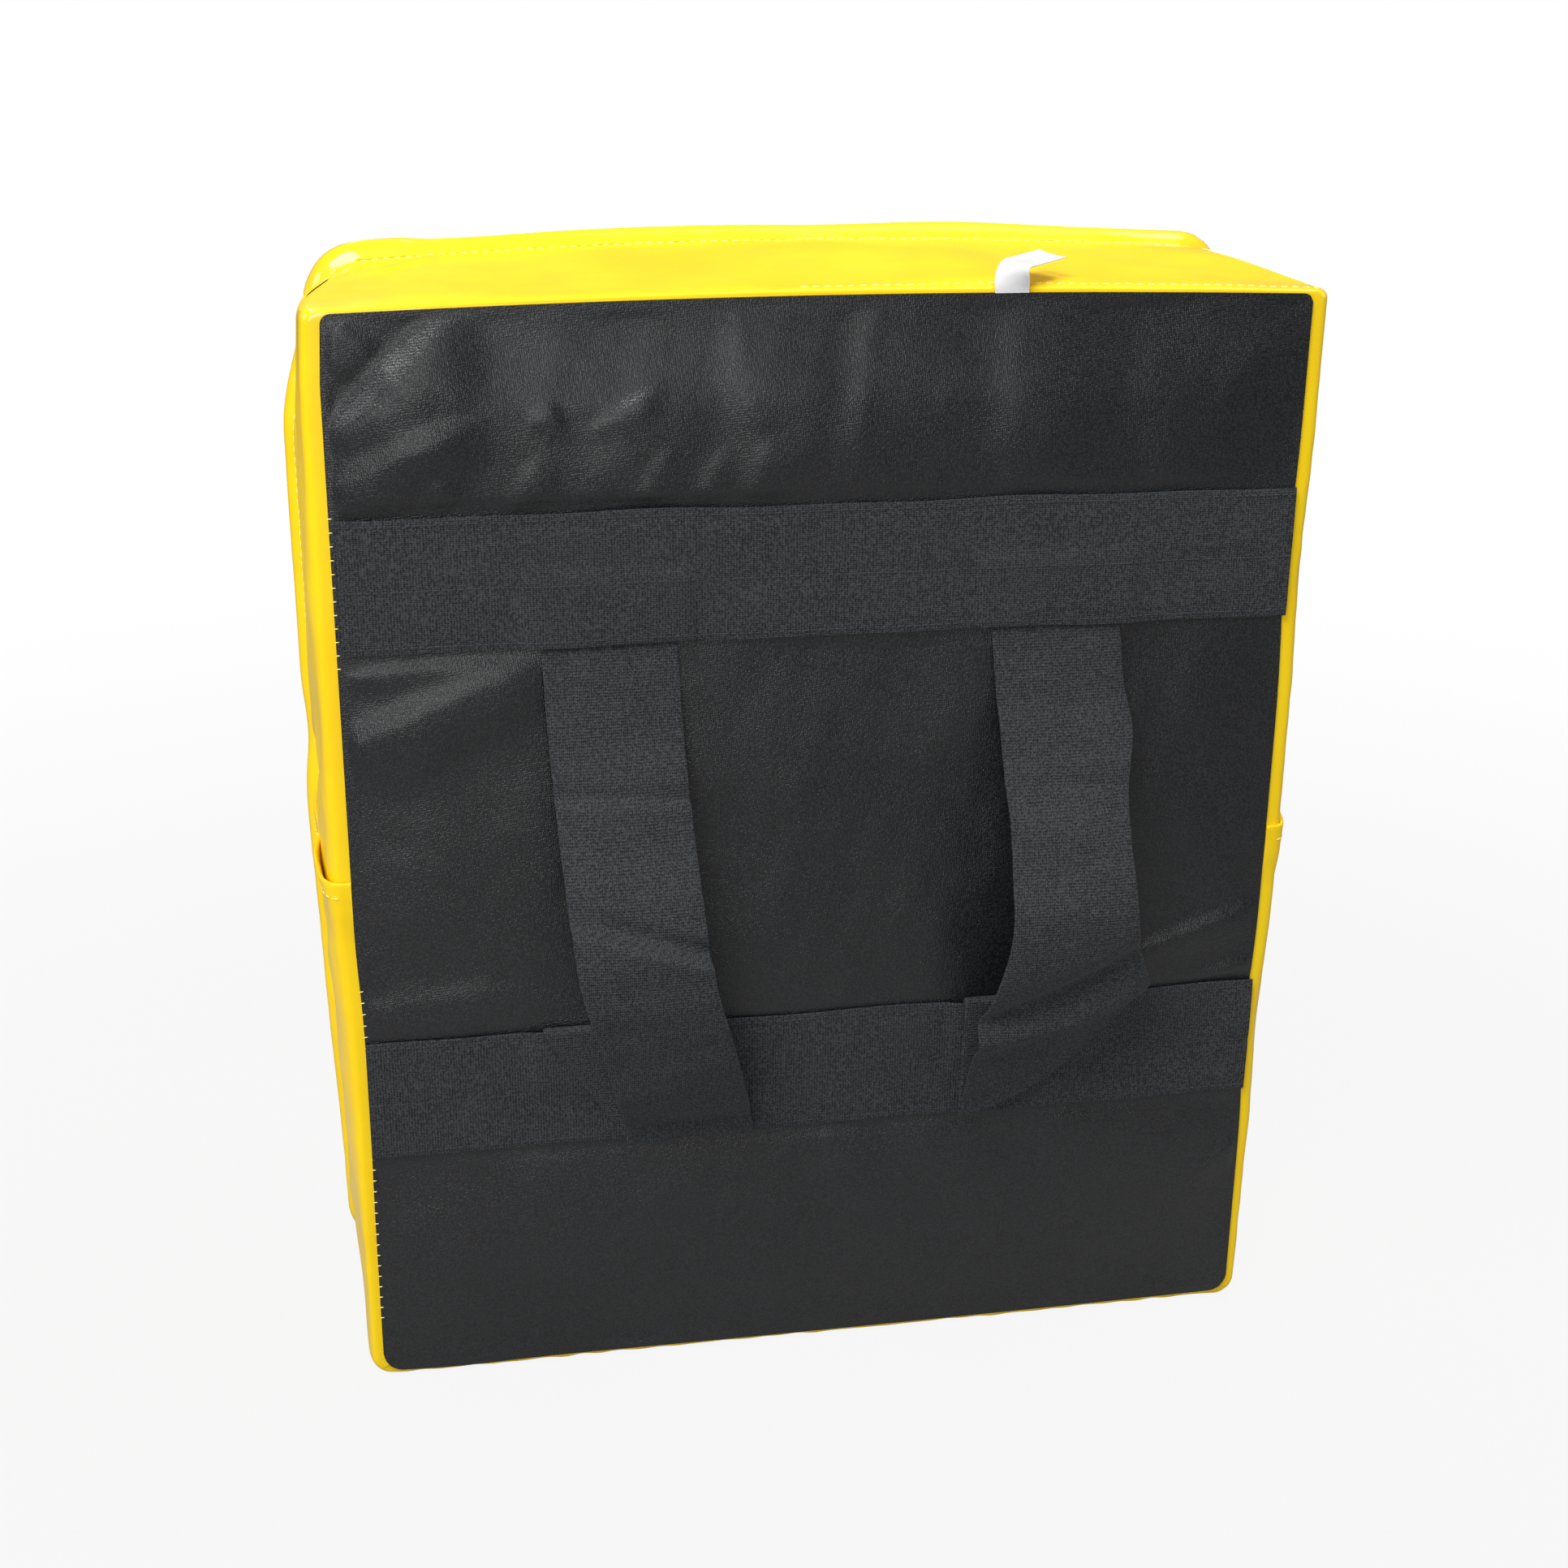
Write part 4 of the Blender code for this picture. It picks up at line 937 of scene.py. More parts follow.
def make_face():
    """The front panel: a crowned sheet that rolls out past its seam, with puckers round its edge."""
    middle = np.array([0, BACK_Y + SEAM_DEPTH, PANEL_TOP / 2])
    arm = surface(whole_loop(), [SEAM_DEPTH])[0] - middle
    places = np.concatenate([np.linspace(0, 6, 40), np.linspace(6.1, 8, 18)])
    rings = [(between(FACE_SIZES, place), between(FACE_RISES, place)) for place in places]
    rings += [(0.22, 1.0), (0.13, 1.0), (0.05, 1.0)]
    base = np.array([middle + arm * size + np.array([0, rise * CROWN, 0]) for size, rise in rings])
    base[..., 2] = np.maximum(base[..., 2], 0.0)
    out = normals_of(base, closed=True)
    out = out * np.sign((out * (base - middle)).sum(axis=-1).mean())
    share = (base[..., 1] - BACK_Y - SEAM_DEPTH) / CROWN
    edge = np.exp(-np.abs(share - 0.05) / 0.20) * (1 - smooth_step((share - 0.8) / 0.2))
    inside = smooth_step(share / 0.6)
    rise = 0.00025 * field(base, 0.022, 101, (1.0, 3.0, 1.0)) * edge
    rise = rise + inside * (0.0011 * field(base, 0.13, 102) - 0.0004)
    rise = rise - 0.0005 * bump(share * CROWN, 0.0030)
    rise = rise + sum(wrinkle(base[..., 0], base[..., 2], *line) for line in FACE_FOLDS) * inside
    rise = rise + corner_folds(base) * smooth_step(share / 0.05)
    # It rests flat on the ground at its lowest edge
    rise = rise * smooth_step(base[..., 2] / 0.02)
    outer = base + out * rise[..., None]
    outer[..., 2] = np.maximum(outer[..., 2], 0.0)
    made = thick_sheet("strike_face", outer, outer - out * VINYL, YELLOW, closed=True, capped=True)
    dress(made, "shield", "yellow_vinyl", "front_panel")


def make_seam():
    """The turned-in edges of the front seam, seen in the groove between the gussets and the strike face."""
    rows = surface(whole_loop(), SEAM_DEPTH + np.array([-0.0050, -0.0020, 0.0, 0.0015]))
    out = normals_of(rows, closed=True)
    out = out * np.sign((out[..., 0] * rows[..., 0]).sum())
    drop = np.array([0.0020, 0.0010, 0.0005, 0.0008])[:, None, None]
    outer = rows - out * drop
    made = thick_sheet("front_seam_allowance", outer, outer - out * VINYL, YELLOW, closed=True)
    dress(made, "shield", "yellow_vinyl")


def seam_path(cover, depth, first, last):
    """A line along a strip of the cover at a depth, between two shares of it, with its outward directions."""
    outer, out = cover[1:]
    depths = outer[:, outer.shape[1] // 2, 1] - BACK_Y
    row = min(max(int(np.searchsorted(depths, depth)), 1), len(depths) - 1)
    share = (depth - depths[row - 1]) / (depths[row] - depths[row - 1])
    path = outer[row - 1] + (outer[row] - outer[row - 1]) * share
    count = path.shape[0] - 1
    chosen = slice(int(first * count), int(last * count) + 1)
    return path[chosen], out[row][chosen]


def stitch_cover(cover, bottom):
    """Pale rows of stitches beside the cover's seams, the laps' hems and the zip."""
    for strip, first, last in (
        ("top", 0.0, 1.0), ("left_upper", 0.0, 1.0), ("right_upper", 0.0, 1.0),
        ("left_lower", 0.0, 0.98), ("right_lower", 0.02, 1.0),
    ):
        path, out = seam_path(cover[strip], FRONT_STITCHES, first, last)
        sew(f"{strip}_front_stitches", path, out)
    path, out = seam_path(cover["top"], BACK_STITCHES, 0.47, 0.99)
    sew("top_back_stitches", path, out)
    for strip in ("left_lower", "right_lower"):
        outer, out = cover[strip][1:]
        column = np.argmin(np.abs(outer[outer.shape[0] // 2, :, 2] - HEM_STITCHES))
        sew(f"{strip}_hem_stitches", outer[2:-2, column], out[2:-2, column])
    for strip, row in (("rear", -3), ("front", 2)):
        outer, out = bottom[strip][1:]
        beside = np.abs(outer[row, :, 0]) < ZIP_HALF_LENGTH
        sew(f"bottom_{strip}_stitches", outer[row][beside], out[row][beside])


def sew(name, path, out):
    dress(stitch_row(name, path, out, YELLOW_THREAD, COVER_STITCH), "shield", "yellow_vinyl")


def cloth_size(points):
    """Width, length and area of a grid of points laid flat, in metres."""
    across = np.linalg.norm(np.diff(points, axis=0), axis=-1)
    along = np.linalg.norm(np.diff(points, axis=1), axis=-1)
    first = points[1:, :-1] - points[:-1, :-1]
    second = points[:-1, 1:] - points[:-1, :-1]
    third = points[1:, :-1] - points[1:, 1:]
    fourth = points[:-1, 1:] - points[1:, 1:]
    halves = np.cross(first, second), np.cross(third, fourth)
    area = sum(np.linalg.norm(half, axis=-1).sum() for half in halves) / 2
    return float(across.sum(axis=0).max()), float(along.sum(axis=1).max()), float(area)


def declare_cloth(points):
    """Works out a piece's width, length and area laid flat, and keeps none of them."""
    width, length, area = cloth_size(points)
    area = min(area, width * length)


def make_foam():
    """The foam inside the cover: the CAD forms drawn in a little, with slightly wavy sides."""
    middle = PANEL_TOP / 2
    for node, material, slot, drawn in (
        ("foam_back_board", FIRM_FOAM, "firm_foam", 1.0),
        ("foam_core", FIRM_FOAM, "firm_foam", 1.0),
        ("foam_face_pad", SOFT_FOAM, "soft_foam", FACE_PAD_SHRINK),
    ):
        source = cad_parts[node]
        points = np.array([source.matrix_world @ vertex.co for vertex in source.data.vertices])
        back = points[:, 1].min()
        points[:, 0] *= FOAM_SHRINK
        points[:, 2] = middle + (points[:, 2] - middle) * FOAM_SHRINK
        points[:, 1] = back + (points[:, 1] - back) * drawn
        inside = np.abs(points - points.mean(axis=0)).max()
        points[:, 0] += 0.0003 * field(points, 0.09, 501) * points[:, 0] / inside
        faces = [tuple(face.vertices) for face in source.data.polygons]
        made = make_mesh(node + "_piece", points, faces, material, 40)
        dress(made, "shield", slot, node)


# The back panel

WRINKLES = (
    # The lit flank of each fold in the photograph: start (x, z), end (x, z), reach, height
    ((-0.192, 0.600), (-0.248, 0.545), 0.0105, 0.0046),
    ((-0.208, 0.600), (-0.252, 0.556), 0.0055, -0.0016),
    ((-0.240, 0.600), (-0.254, 0.578), 0.0060, 0.0020),
    ((-0.186, 0.550), (-0.251, 0.520), 0.0085, 0.0042),
    ((-0.222, 0.560), (-0.252, 0.546), 0.0060, 0.0012),
    ((-0.252, 0.508), (-0.222, 0.500), 0.0042, 0.0020),
    ((-0.200, 0.520), (-0.186, 0.512), 0.0040, 0.0013),
    ((-0.152, 0.549), (-0.140, 0.556), 0.0042, 0.0013),
    ((-0.091, 0.563), (-0.121, 0.545), 0.0034, 0.0016),
    ((-0.166, 0.500), (-0.152, 0.528), 0.0050, 0.0014),
    ((-0.104, 0.500), (-0.088, 0.530), 0.0050, 0.0013),
    ((-0.072, 0.500), (-0.058, 0.530), 0.0050, 0.0012),
    ((-0.048, 0.500), (-0.036, 0.534), 0.0055, 0.0013),
    ((-0.096, 0.566), (-0.132, 0.505), 0.0120, 0.0018),
    ((-0.054, 0.590), (-0.042, 0.505), 0.0120, 0.0022),
    ((0.014, 0.600), (0.006, 0.505), 0.0120, 0.0019),
    ((0.088, 0.600), (0.087, 0.505), 0.0130, 0.0016),
    ((0.160, 0.590), (0.166, 0.505), 0.0140, 0.0011),
    ((-0.250, 0.388), (-0.158, 0.427), 0.0095, 0.0042),
    ((-0.250, 0.421), (-0.175, 0.427), 0.0032, 0.0014),
    ((-0.235, 0.352), (-0.165, 0.392), 0.0110, -0.0008),
    ((0.176, 0.238), (0.244, 0.262), 0.0055, 0.0028),
    ((0.196, 0.212), (0.247, 0.229), 0.0048, 0.0023),
    ((-0.250, 0.236), (-0.176, 0.243), 0.0085, 0.0016),
    ((-0.180, 0.138), (-0.118, 0.022), 0.0150, 0.0012),
    ((-0.092, 0.138), (-0.026, 0.016), 0.0150, 0.0014),
    ((-0.006, 0.139), (0.056, 0.016), 0.0140, 0.0017),
    ((0.041, 0.139), (0.126, 0.010), 0.0140, 0.0016),
    ((0.120, 0.138), (0.190, 0.024), 0.0150, 0.0011),
    ((0.224, 0.092), (0.249, 0.113), 0.0044, 0.0016),
)


def wrinkle(x, z, start, end, reach, height):
    """A fold along a line, steep on the flank that faces up and to the left, easing off on the other."""
    along_x, along_z = end[0] - start[0], end[1] - start[1]
    length = math.hypot(along_x, along_z)
    share = ((x - start[0]) * along_x + (z - start[1]) * along_z) / length ** 2
    across = ((x - start[0]) * along_z - (z - start[1]) * along_x) / length
    if -along_z - along_x < 0:
        across = -across
    across = across + 0.7 * reach
    fade = smooth_step((share + 0.25) / 0.55) * smooth_step((1.25 - share) / 0.55)
    narrow = reach * (0.45 + 0.55 * fade)
    return height * fade * np.where(across > 0, bump(across, narrow), bump(across, narrow * 2.8))


def panel_relief(x, z):
    """Swelling and wrinkles of the black panel, held flat under the bands. In metres, out of the panel."""
    points = np.stack([x, np.zeros_like(x), z], axis=-1)
    free_top = smooth_step((z - UPPER_BAND_TOP) / 0.010)
    free_middle = smooth_step((z - LOWER_BAND_TOP) / 0.010) * smooth_step((UPPER_BAND_BOTTOM - z) / 0.010)
    free_low = smooth_step((LOWER_BAND_BOTTOM - z) / 0.010)
    free = free_top + free_middle + free_low
    edge = np.minimum(PANEL_WIDTH / 2 - np.abs(x), np.minimum(z - PANEL_LIFT, PANEL_TOP - z))
    inside = smooth_step(edge / 0.006)
    swell = 0.0045 * np.clip(1 - ((z - 0.548) / 0.055) ** 2, 0, 1) * free_top
    swell = swell + 0.0026 * np.clip(1 - ((z - 0.072) / 0.068) ** 2, 0, 1) * free_low
    swell = swell + 0.0012 * np.clip(1 - ((z - 0.322) / 0.105) ** 2, 0, 1) * free_middle
    swell = swell * smooth_step(edge / 0.050)
    soft = 0.0006 * field(points, 0.080, 205) * free
    fine = 0.00012 * field(points, 0.020, 207) * free
    folds = sum(wrinkle(x, z, *line) for line in WRINKLES) * free
    rise = (swell + soft + fine + folds) * inside
    return np.maximum(rise, -0.0008)


def panel_grid(columns=250, rows=300):
    """The back panel as rows from its top edge down, with its bowed sides, arched top and round corners."""
    across = np.linspace(-1, 1, columns)
    across = np.sign(across) * (1 - (1 - np.abs(across)) ** 1.15)
    up = np.linspace(1, 0, rows)
    up = 0.5 + np.sign(up - 0.5) * 0.5 * (1 - (1 - np.abs(2 * up - 1)) ** 1.15)
    u, v = np.meshgrid(across, up)
    low = np.array([bottom_edge(0.0, place) for place in across])
    high = PANEL_TOP + PANEL_ARCH * (1 - across ** 2)
    z = low[None, :] + (high - low)[None, :] * v
    left = PANEL_WIDTH / 2 + side_bow(-1, z)
    right = PANEL_WIDTH / 2 + side_bow(1, z)
    x = np.where(u < 0, u * left, u * right) * (1 - SEAM_GAP / PANEL_WIDTH)
    for sign, reach in ((-1, left), (1, right)):
        for top in (-1, 1):
            radius = BACK_TOP_CORNER_RADIUS if top > 0 else BACK_BOTTOM_CORNER_RADIUS
            edge_z = (high if top > 0 else low)[None, :] + 0 * z
            a = (sign * x - (reach - radius)) / radius
            b = (top * (z - edge_z) + radius) / radius
            corner = (a > 0) & (b > 0)
            size = np.sqrt(a ** 2 + b ** 2) + 1e-12
            share = np.maximum(a, b) / size
            x = np.where(corner, sign * (reach - radius + a * share * radius), x)
            z = np.where(corner, edge_z + top * (b * share - 1) * radius, z)
    return x, z


def make_back_panel():
    """The black panel with its wrinkles; its bare edge stands a little proud of the seam."""
    x, z = panel_grid()
    outer = np.stack([x, BACK_Y - panel_relief(x, z), z], axis=-1)
    made = thick_sheet("back_panel_cloth", outer, outer + np.array([0, VINYL, 0]), BLACK)
    dress(made, "shield", "black_vinyl", "back_panel")
    declare_cloth(outer)


def panel_edge():
    """The panel's outline, as points round it with their outward directions."""
    grid = np.stack(panel_grid(120, 140), axis=-1)
    sides = (grid[0], grid[:, -1], grid[-1, ::-1], grid[::-1, 0])
    ring = np.concatenate([side[:-1] for side in sides])
    path = np.stack([ring[:, 0], np.full(len(ring), BACK_Y), ring[:, 1]], axis=-1)
    ahead = np.roll(ring, -2, axis=0) - np.roll(ring, 2, axis=0)
    out = np.stack([-ahead[:, 1], np.zeros(len(ring)), ahead[:, 0]], axis=-1)
    out /= np.linalg.norm(out, axis=1)[:, None]
    return path, out


def stitch_panel():
    """Overcast stitches at the panel's left side, where the photograph shows its edge bitten."""
    path, out = panel_edge()
    for name, low, high in (("upper", 0.418, 0.506), ("lower", 0.036, 0.252)):
        line = path[(out[:, 0] < -0.9) & (path[:, 2] > low) & (path[:, 2] < high)]
        edge = line[np.argsort(line[:, 2])] + np.array([0.0004, -0.00015, 0])
        away = np.tile([0.0, -1.0, 0.0], (len(edge), 1))
        bites = stitch_row(f"{name}_edge_stitches", edge, away, YELLOW_THREAD, EDGE_STITCH, math.pi / 2)
        dress(bites, "shield", "yellow_vinyl")


# The webbing

# Places across a strap, closer by its edges, and the same as shares from its left edge
ACROSS = np.concatenate([[-1.0, -0.985, -0.95], np.linspace(-0.88, 0.88, 23), [0.95, 0.985, 1.0]])
FROM_LEFT = (ACROSS + 1) / 2


def half_webbing(across):
    """Half the webbing's thickness, rounded at its woven edges. across runs from -1 to 1."""
    return WEBBING / 2 * (1 - 0.62 * np.abs(across) ** 40)[..., None]


def webbing_piece(name, middle, out, across, material):
    half = out * half_webbing(across)
    return thick_sheet(name, middle + half, middle - half, material, sharp=70)


def tab_lift(x, z, tab_low, tab_high, places):
    """How far a band is lifted where it goes over the handles' sewn ends."""
    near = np.min([np.abs(x - place) for place in places], axis=0) - WEBBING_WIDTH / 2 - TAB_RAMP / 4
    beside = 1 - smooth_step(near / TAB_RAMP)
    beyond = np.maximum(np.maximum(tab_low - z, z - tab_high), 0.0)
    return TAB_LIFT * beside * (1 - smooth_step(beyond / TAB_RAMP))


def make_band(node, bottom, tab_low, places, seed):
    """Webbing sewn across the panel, a little loose between its rows of stitches."""
    reach = PANEL_WIDTH / 2 - SEAM_GAP
    across = ACROSS[::-1]
    xs = np.linspace(-reach, reach, 260)
    heights = bottom + WEBBING_WIDTH / 2 + across * WEBBING_WIDTH / 2
    x, z = np.meshgrid(xs, heights)
    points = np.stack([x, np.zeros_like(x), z], axis=-1)
    slack = 0.00035 * (1 + field(points, 0.040, seed, (1.4, 1.0, 1.0)))
    for stitched in BAND_STITCHES:
        slack = slack * (1 - 0.9 * bump((z - bottom) / WEBBING_WIDTH - stitched, 0.05))
    away = BAND_STANDOFF + tab_lift(x, z, tab_low, tab_low + TAB_LENGTH, places) + np.maximum(slack, 0)
    wander = 0.0005 * np.cos(xs * 31 + seed) + 0.0004 * np.cos(xs * 67 + 2 * seed)
    middle = np.stack([x, BACK_Y - away, z + wander[None, :] * np.abs(across)[:, None]], axis=-1)
    out = normals_of(middle)
    out = out * np.sign(-out[..., 1].mean())
    made = webbing_piece(f"{node}_webbing", middle, out, across[:, None], BAND_WEBBING)
    dress(made, "shield", "black_webbing", node)
    face = middle + out * half_webbing(across[:, None])
    for index, stitched in enumerate(BAND_STITCHES):
        height = bottom + WEBBING_WIDTH * stitched
        row = np.argmin(np.abs(heights - height))
        path = face[row].copy()
        path[:, 2] = height + wander * 0.5
        path[:, 1] -= 0.00005
        line = stitch_row(f"{node}_webbing_stitches_{index + 1}", path, out[row], BLACK_THREAD, BAND_STITCH)
        dress(line, "shield", "black_webbing")


def half_turn(x, height, far, near, share, rise):
    """A point on a half turn from far off the panel to nearer it, up (1) or down (-1) from a height."""
    radius = (far - near) / 2
    out = (far + near) / 2 + radius * math.cos(math.pi * share)
    return (x, BACK_Y - out, height + rise * radius * math.sin(math.pi * share))


class Strap:
    """One handle: rows of its strap from the sewn end down the grip, round the fold and back to the band.

    It leans sideways on its way down by lean times the shares in leans. fold_up is the fold's height up the
    panel, fold_half half its length, and tilt its slope in degrees.
    """

    def __init__(self, side, top_x, bottom_x, lean, leans, fold_up, fold_half, tilt, sag):
        self.side = side
        self.sag = sag
        self.top_x = top_x
        self.bottom_x = bottom_x
        self.lean = lean
        self.leans = leans
        self.fold_x = top_x + lean * leans[-1]
        self.fold_height = PANEL_LIFT + fold_up
        self.fold_half = fold_half
        self.tilt = math.radians(tilt)
        self.drop = UPPER_BAND_BOTTOM - self.fold_height
        self.out = HANDLE_STANDOFF - WEBBING / 2 - BAND_STANDOFF

    def sewn(self, x, height):
        """A row of the end that lies under a band. Each row is its middle, half its width and its tilt."""
        return (x, BACK_Y - BAND_STANDOFF, height), WEBBING_WIDTH / 2, 0.0

    def grip(self, place):
        """A row of the free stretch, from the upper band to the fold."""
        drop = between(GRIP_DROP, place) * self.drop
        out = BAND_STANDOFF + between(GRIP_OUT, place) * self.out
        lean = between(self.leans, place) * self.lean
        turned = float(smooth_step((place - GRIP_SPLIT) / (GRIP_LAST - GRIP_SPLIT)))
        half = WEBBING_WIDTH / 2 + (self.fold_half - WEBBING_WIDTH / 2) * turned
        return (self.top_x + lean, BACK_Y - out, UPPER_BAND_BOTTOM - drop), half, self.tilt * turned

    def fold(self, share):
        """A row of the turn from the grip to the return."""
        centre = half_turn(self.fold_x, self.fold_height, FOLD_STANDOFF, RETURN_STANDOFF, share, -1)
        return centre, self.fold_half, self.tilt

    def wrap(self, share):
        """A row of the turn over the lower band's top edge."""
        centre = half_turn(self.bottom_x, LOWER_BAND_TOP, RETURN_STANDOFF, BAND_STANDOFF, share, 1)
        return centre, WEBBING_WIDTH / 2, 0.0


def strap_grid(rows):
    """Points across each row of a strap, given as (centre, half width, tilt)."""
    grid = []
    for centre, half, tilt in rows:
        across = np.array([math.cos(tilt), 0, math.sin(tilt)]) * half
        grid.append(np.array(centre) + ACROSS[:, None] * across)
    return np.array(grid)


def sagged(strap, grid):
    """The fold's lower edge hangs in a shallow curve; sag gives its ends' and its middle's drop."""
    ends, middle = strap.sag
    slope = np.tan(strap.tilt) * ACROSS * strap.fold_half
    near = 1 - smooth_step((grid[..., 2] - strap.fold_height - slope - 0.004) / 0.050)
    grid = grid.copy()
    grid[..., 2] -= near * (ends + (middle - ends) * (1 - ACROSS ** 2))
    return grid


def strap_piece(name, grid, out, blend, *nodes):
    """A stretch of a handle, with the CAD nodes that it stands for hidden; blend is not used."""
    made = webbing_piece(name, grid, out, ACROSS[None, :], HANDLE_WEBBING)
    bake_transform(made)
    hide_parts(*nodes)


def crease(grid, low, high, height, width):
    """A soft ridge or valley across a strap, between a height at its left edge and one at its right."""
    return height * bump(grid[..., 2] - (low + (high - low) * FROM_LEFT), width)


def step_out(grid, low, high, height, width, ease):
    """The strap stands out sharply just under a line across it, and eases back further down."""
    below = low + (high - low) * FROM_LEFT - grid[..., 2]
    return height * smooth_step(below / width + 0.5) * np.exp(-np.maximum(below, 0) / ease)


def worn_in(strap, grid, seed):
    """Waves, curl and the creases that the photograph shows, where the strap is free of the bands."""
    z = grid[..., 2]
    free = smooth_step((UPPER_BAND_BOTTOM - z) / 0.03) * smooth_step((z - strap.fold_height - 0.008) / 0.03)
    relief = 0.0012 * field(grid, 0.060, seed, (2.0, 1.0, 1.0)) + 0.0016 * (1 - ACROSS ** 2)
    relief = relief + 0.0005 * field(grid, 0.025, seed + 1, (2.5, 1.0, 1.0))
    shift = 0.0
    if strap.side == "left":
        relief = relief + step_out(grid, 0.2930, 0.2715, 0.0076, 0.0062, 0.032)
        relief = relief - crease(grid, 0.2990, 0.2775, 0.0046, 0.0050) * (0.15 + 0.85 * FROM_LEFT)
        relief = relief + 0.0050 * bump(z - strap.fold_height - 0.042, 0.024)
        relief = relief - crease(grid, 0.356, 0.352, 0.0022, 0.0026)
        relief = relief + crease(grid, 0.350, 0.345, 0.0014, 0.0040)
    else:
        relief = relief - crease(grid, 0.212, 0.258, 0.0055, 0.0095)
        relief = relief + crease(grid, 0.196, 0.233, 0.0085, 0.0110)
        relief = relief - crease(grid, 0.352, 0.348, 0.0010, 0.0040)
        shift = FROM_LEFT ** 2 * (0.0034 * bump(z - 0.376, 0.018) - 0.0046 * bump(z - 0.322, 0.040))
    moved = grid - normals_of(grid) * (free * relief)[..., None]
    moved[..., 0] += free * shift
    return moved


def make_handle(strap, seed):
    """The sewn end with the upper grip, the lower grip with its fold, and the return to the lower band."""
    side = strap.side
    top = UPPER_BAND_BOTTOM
    joint = GRIP_SPLIT - 0.6
    rows = [strap.sewn(strap.top_x, top + reach) for reach in np.linspace(TAB_LENGTH, 0.001, 10)]
    rows += [strap.grip(place) for place in np.linspace(0, joint, 60)]
    split = len(rows)
    rows += [strap.grip(place) for place in np.linspace(joint, GRIP_LAST, 150)[1:]]
    rows += [strap.fold(share) for share in np.linspace(0, 1, 15)[1:]]
    grid = worn_in(strap, sagged(strap, strap_grid(rows)), seed)
    out = -normals_of(grid)

    start, finish = ((strap.top_x, BACK_Y, top + reach) for reach in (0.002, -0.016))
    hinge = ("shield", f"{side}_upper", start, finish)
    nodes = (f"{side}_handle_top_end", f"{side}_grip_upper")
    strap_piece(f"{side}_upper_strap", grid[:split], out[:split], hinge, *nodes)

    knuckle = np.array(strap.grip(GRIP_SPLIT)[0])
    rise = np.array([0.0, 0.0, 0.018])
    hinge = (f"{side}_upper", f"{side}_lower", tuple(knuckle + rise), tuple(knuckle - rise))
    strap_piece(f"{side}_lower_strap", grid[split - 1:], out[split - 1:], hinge, f"{side}_grip_lower")

    start = strap_grid([strap.fold(1.0)])[0]
    start = start + (sagged(strap, start[None])[0] - start) * 0.5 + np.array([0, 0, 0.0015])
    rows = [strap.wrap(share) for share in [0.0, *np.linspace(0.06, 1, 16)]]
    heights = np.linspace(LOWER_BAND_TOP - 0.001, LOWER_BAND_TOP - TAB_LENGTH, 12)
    rows += [strap.sewn(strap.bottom_x, height) for height in heights]
    end = strap_grid(rows)
    stretch = [start + (end[0] - start) * share for share in np.linspace(0, 1, 34)]
    grid = np.concatenate([stretch, end[1:]])
    hinge = (
        f"{side}_return", "shield",
        (strap.bottom_x, BACK_Y - RETURN_STANDOFF + WEBBING / 2, LOWER_BAND_TOP),
        (strap.bottom_x, BACK_Y - BAND_STANDOFF - WEBBING / 2, LOWER_BAND_TOP),
    )
    nodes = (f"{side}_handle_return", f"{side}_handle_bottom_end")
    strap_piece(f"{side}_return_strap", grid, -normals_of(grid), hinge, *nodes)


# The label

def make_label():
    """A blank tape caught in the seam, which stands up, turns to the right and bends over."""
    base = PANEL_TOP + float(top_arch(0.0, 2 * LABEL_X / PANEL_WIDTH))
    centre = np.array([LABEL_X, BACK_Y - LABEL_THICKNESS / 2 - CLEARANCE, base])
    rows = []
    across = np.linspace(-1, 1, 9)
    steps = 60
    for place in np.linspace(0, LABEL_LENGTH, steps + 1):
        turn = math.radians(53) * float(smooth_step(place / 0.016))
        bent = float(smooth_step((place - 0.007) / 0.011))
        lean = math.radians(6 + 81 * bent)
        sideways = np.array([math.cos(turn), -math.sin(turn), -0.12 * bent])
        rows.append(centre + across[:, None] * sideways * LABEL_WIDTH / 2)
        ahead = np.array([math.sin(turn) * math.sin(lean), math.cos(turn) * math.sin(lean), math.cos(lean)])
        centre = centre + ahead * LABEL_LENGTH / steps
    middle = np.array(rows)
    out = normals_of(middle)
    cup = 0.0005 * (across ** 2)[None, :] * np.linspace(0, 1, steps + 1)[:, None]
    middle = middle + out * cup[..., None]
    half = out * LABEL_THICKNESS / 2
    made = thick_sheet("label_tape_cloth", middle + half, middle - half, WHITE_TAPE)
    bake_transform(made)
    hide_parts("label")


# The zip

def make_zip_tapes():
    """The cloth tapes beside the chain. The chain, its stops, the slider and the pull are the CAD's own."""
    xs = np.linspace(-ZIP_HALF_LENGTH, ZIP_HALF_LENGTH, 200)
    for name, direction in (("rear", -1), ("front", 1)):
        near = BACK_Y + ZIP_DEPTH + direction * (CHAIN_WIDTH / 2 + CLEARANCE)
        x, y = np.meshgrid(xs, near + direction * np.linspace(0, TAPE_WIDTH, 9))
        points = np.stack([x, y, np.zeros_like(x)], axis=-1)
        points[..., 2] = TAPE_HEIGHT + 0.00008 * field(points, 0.030, 301)
        half = np.array([0, 0, TAPE / 2])
        tape = thick_sheet(f"{name}_zip_tape", points - half, points + half, ZIP_CLOTH)
        dress(tape, "shield", "zip_tape", f"zip_tape_{name}")


# The stage

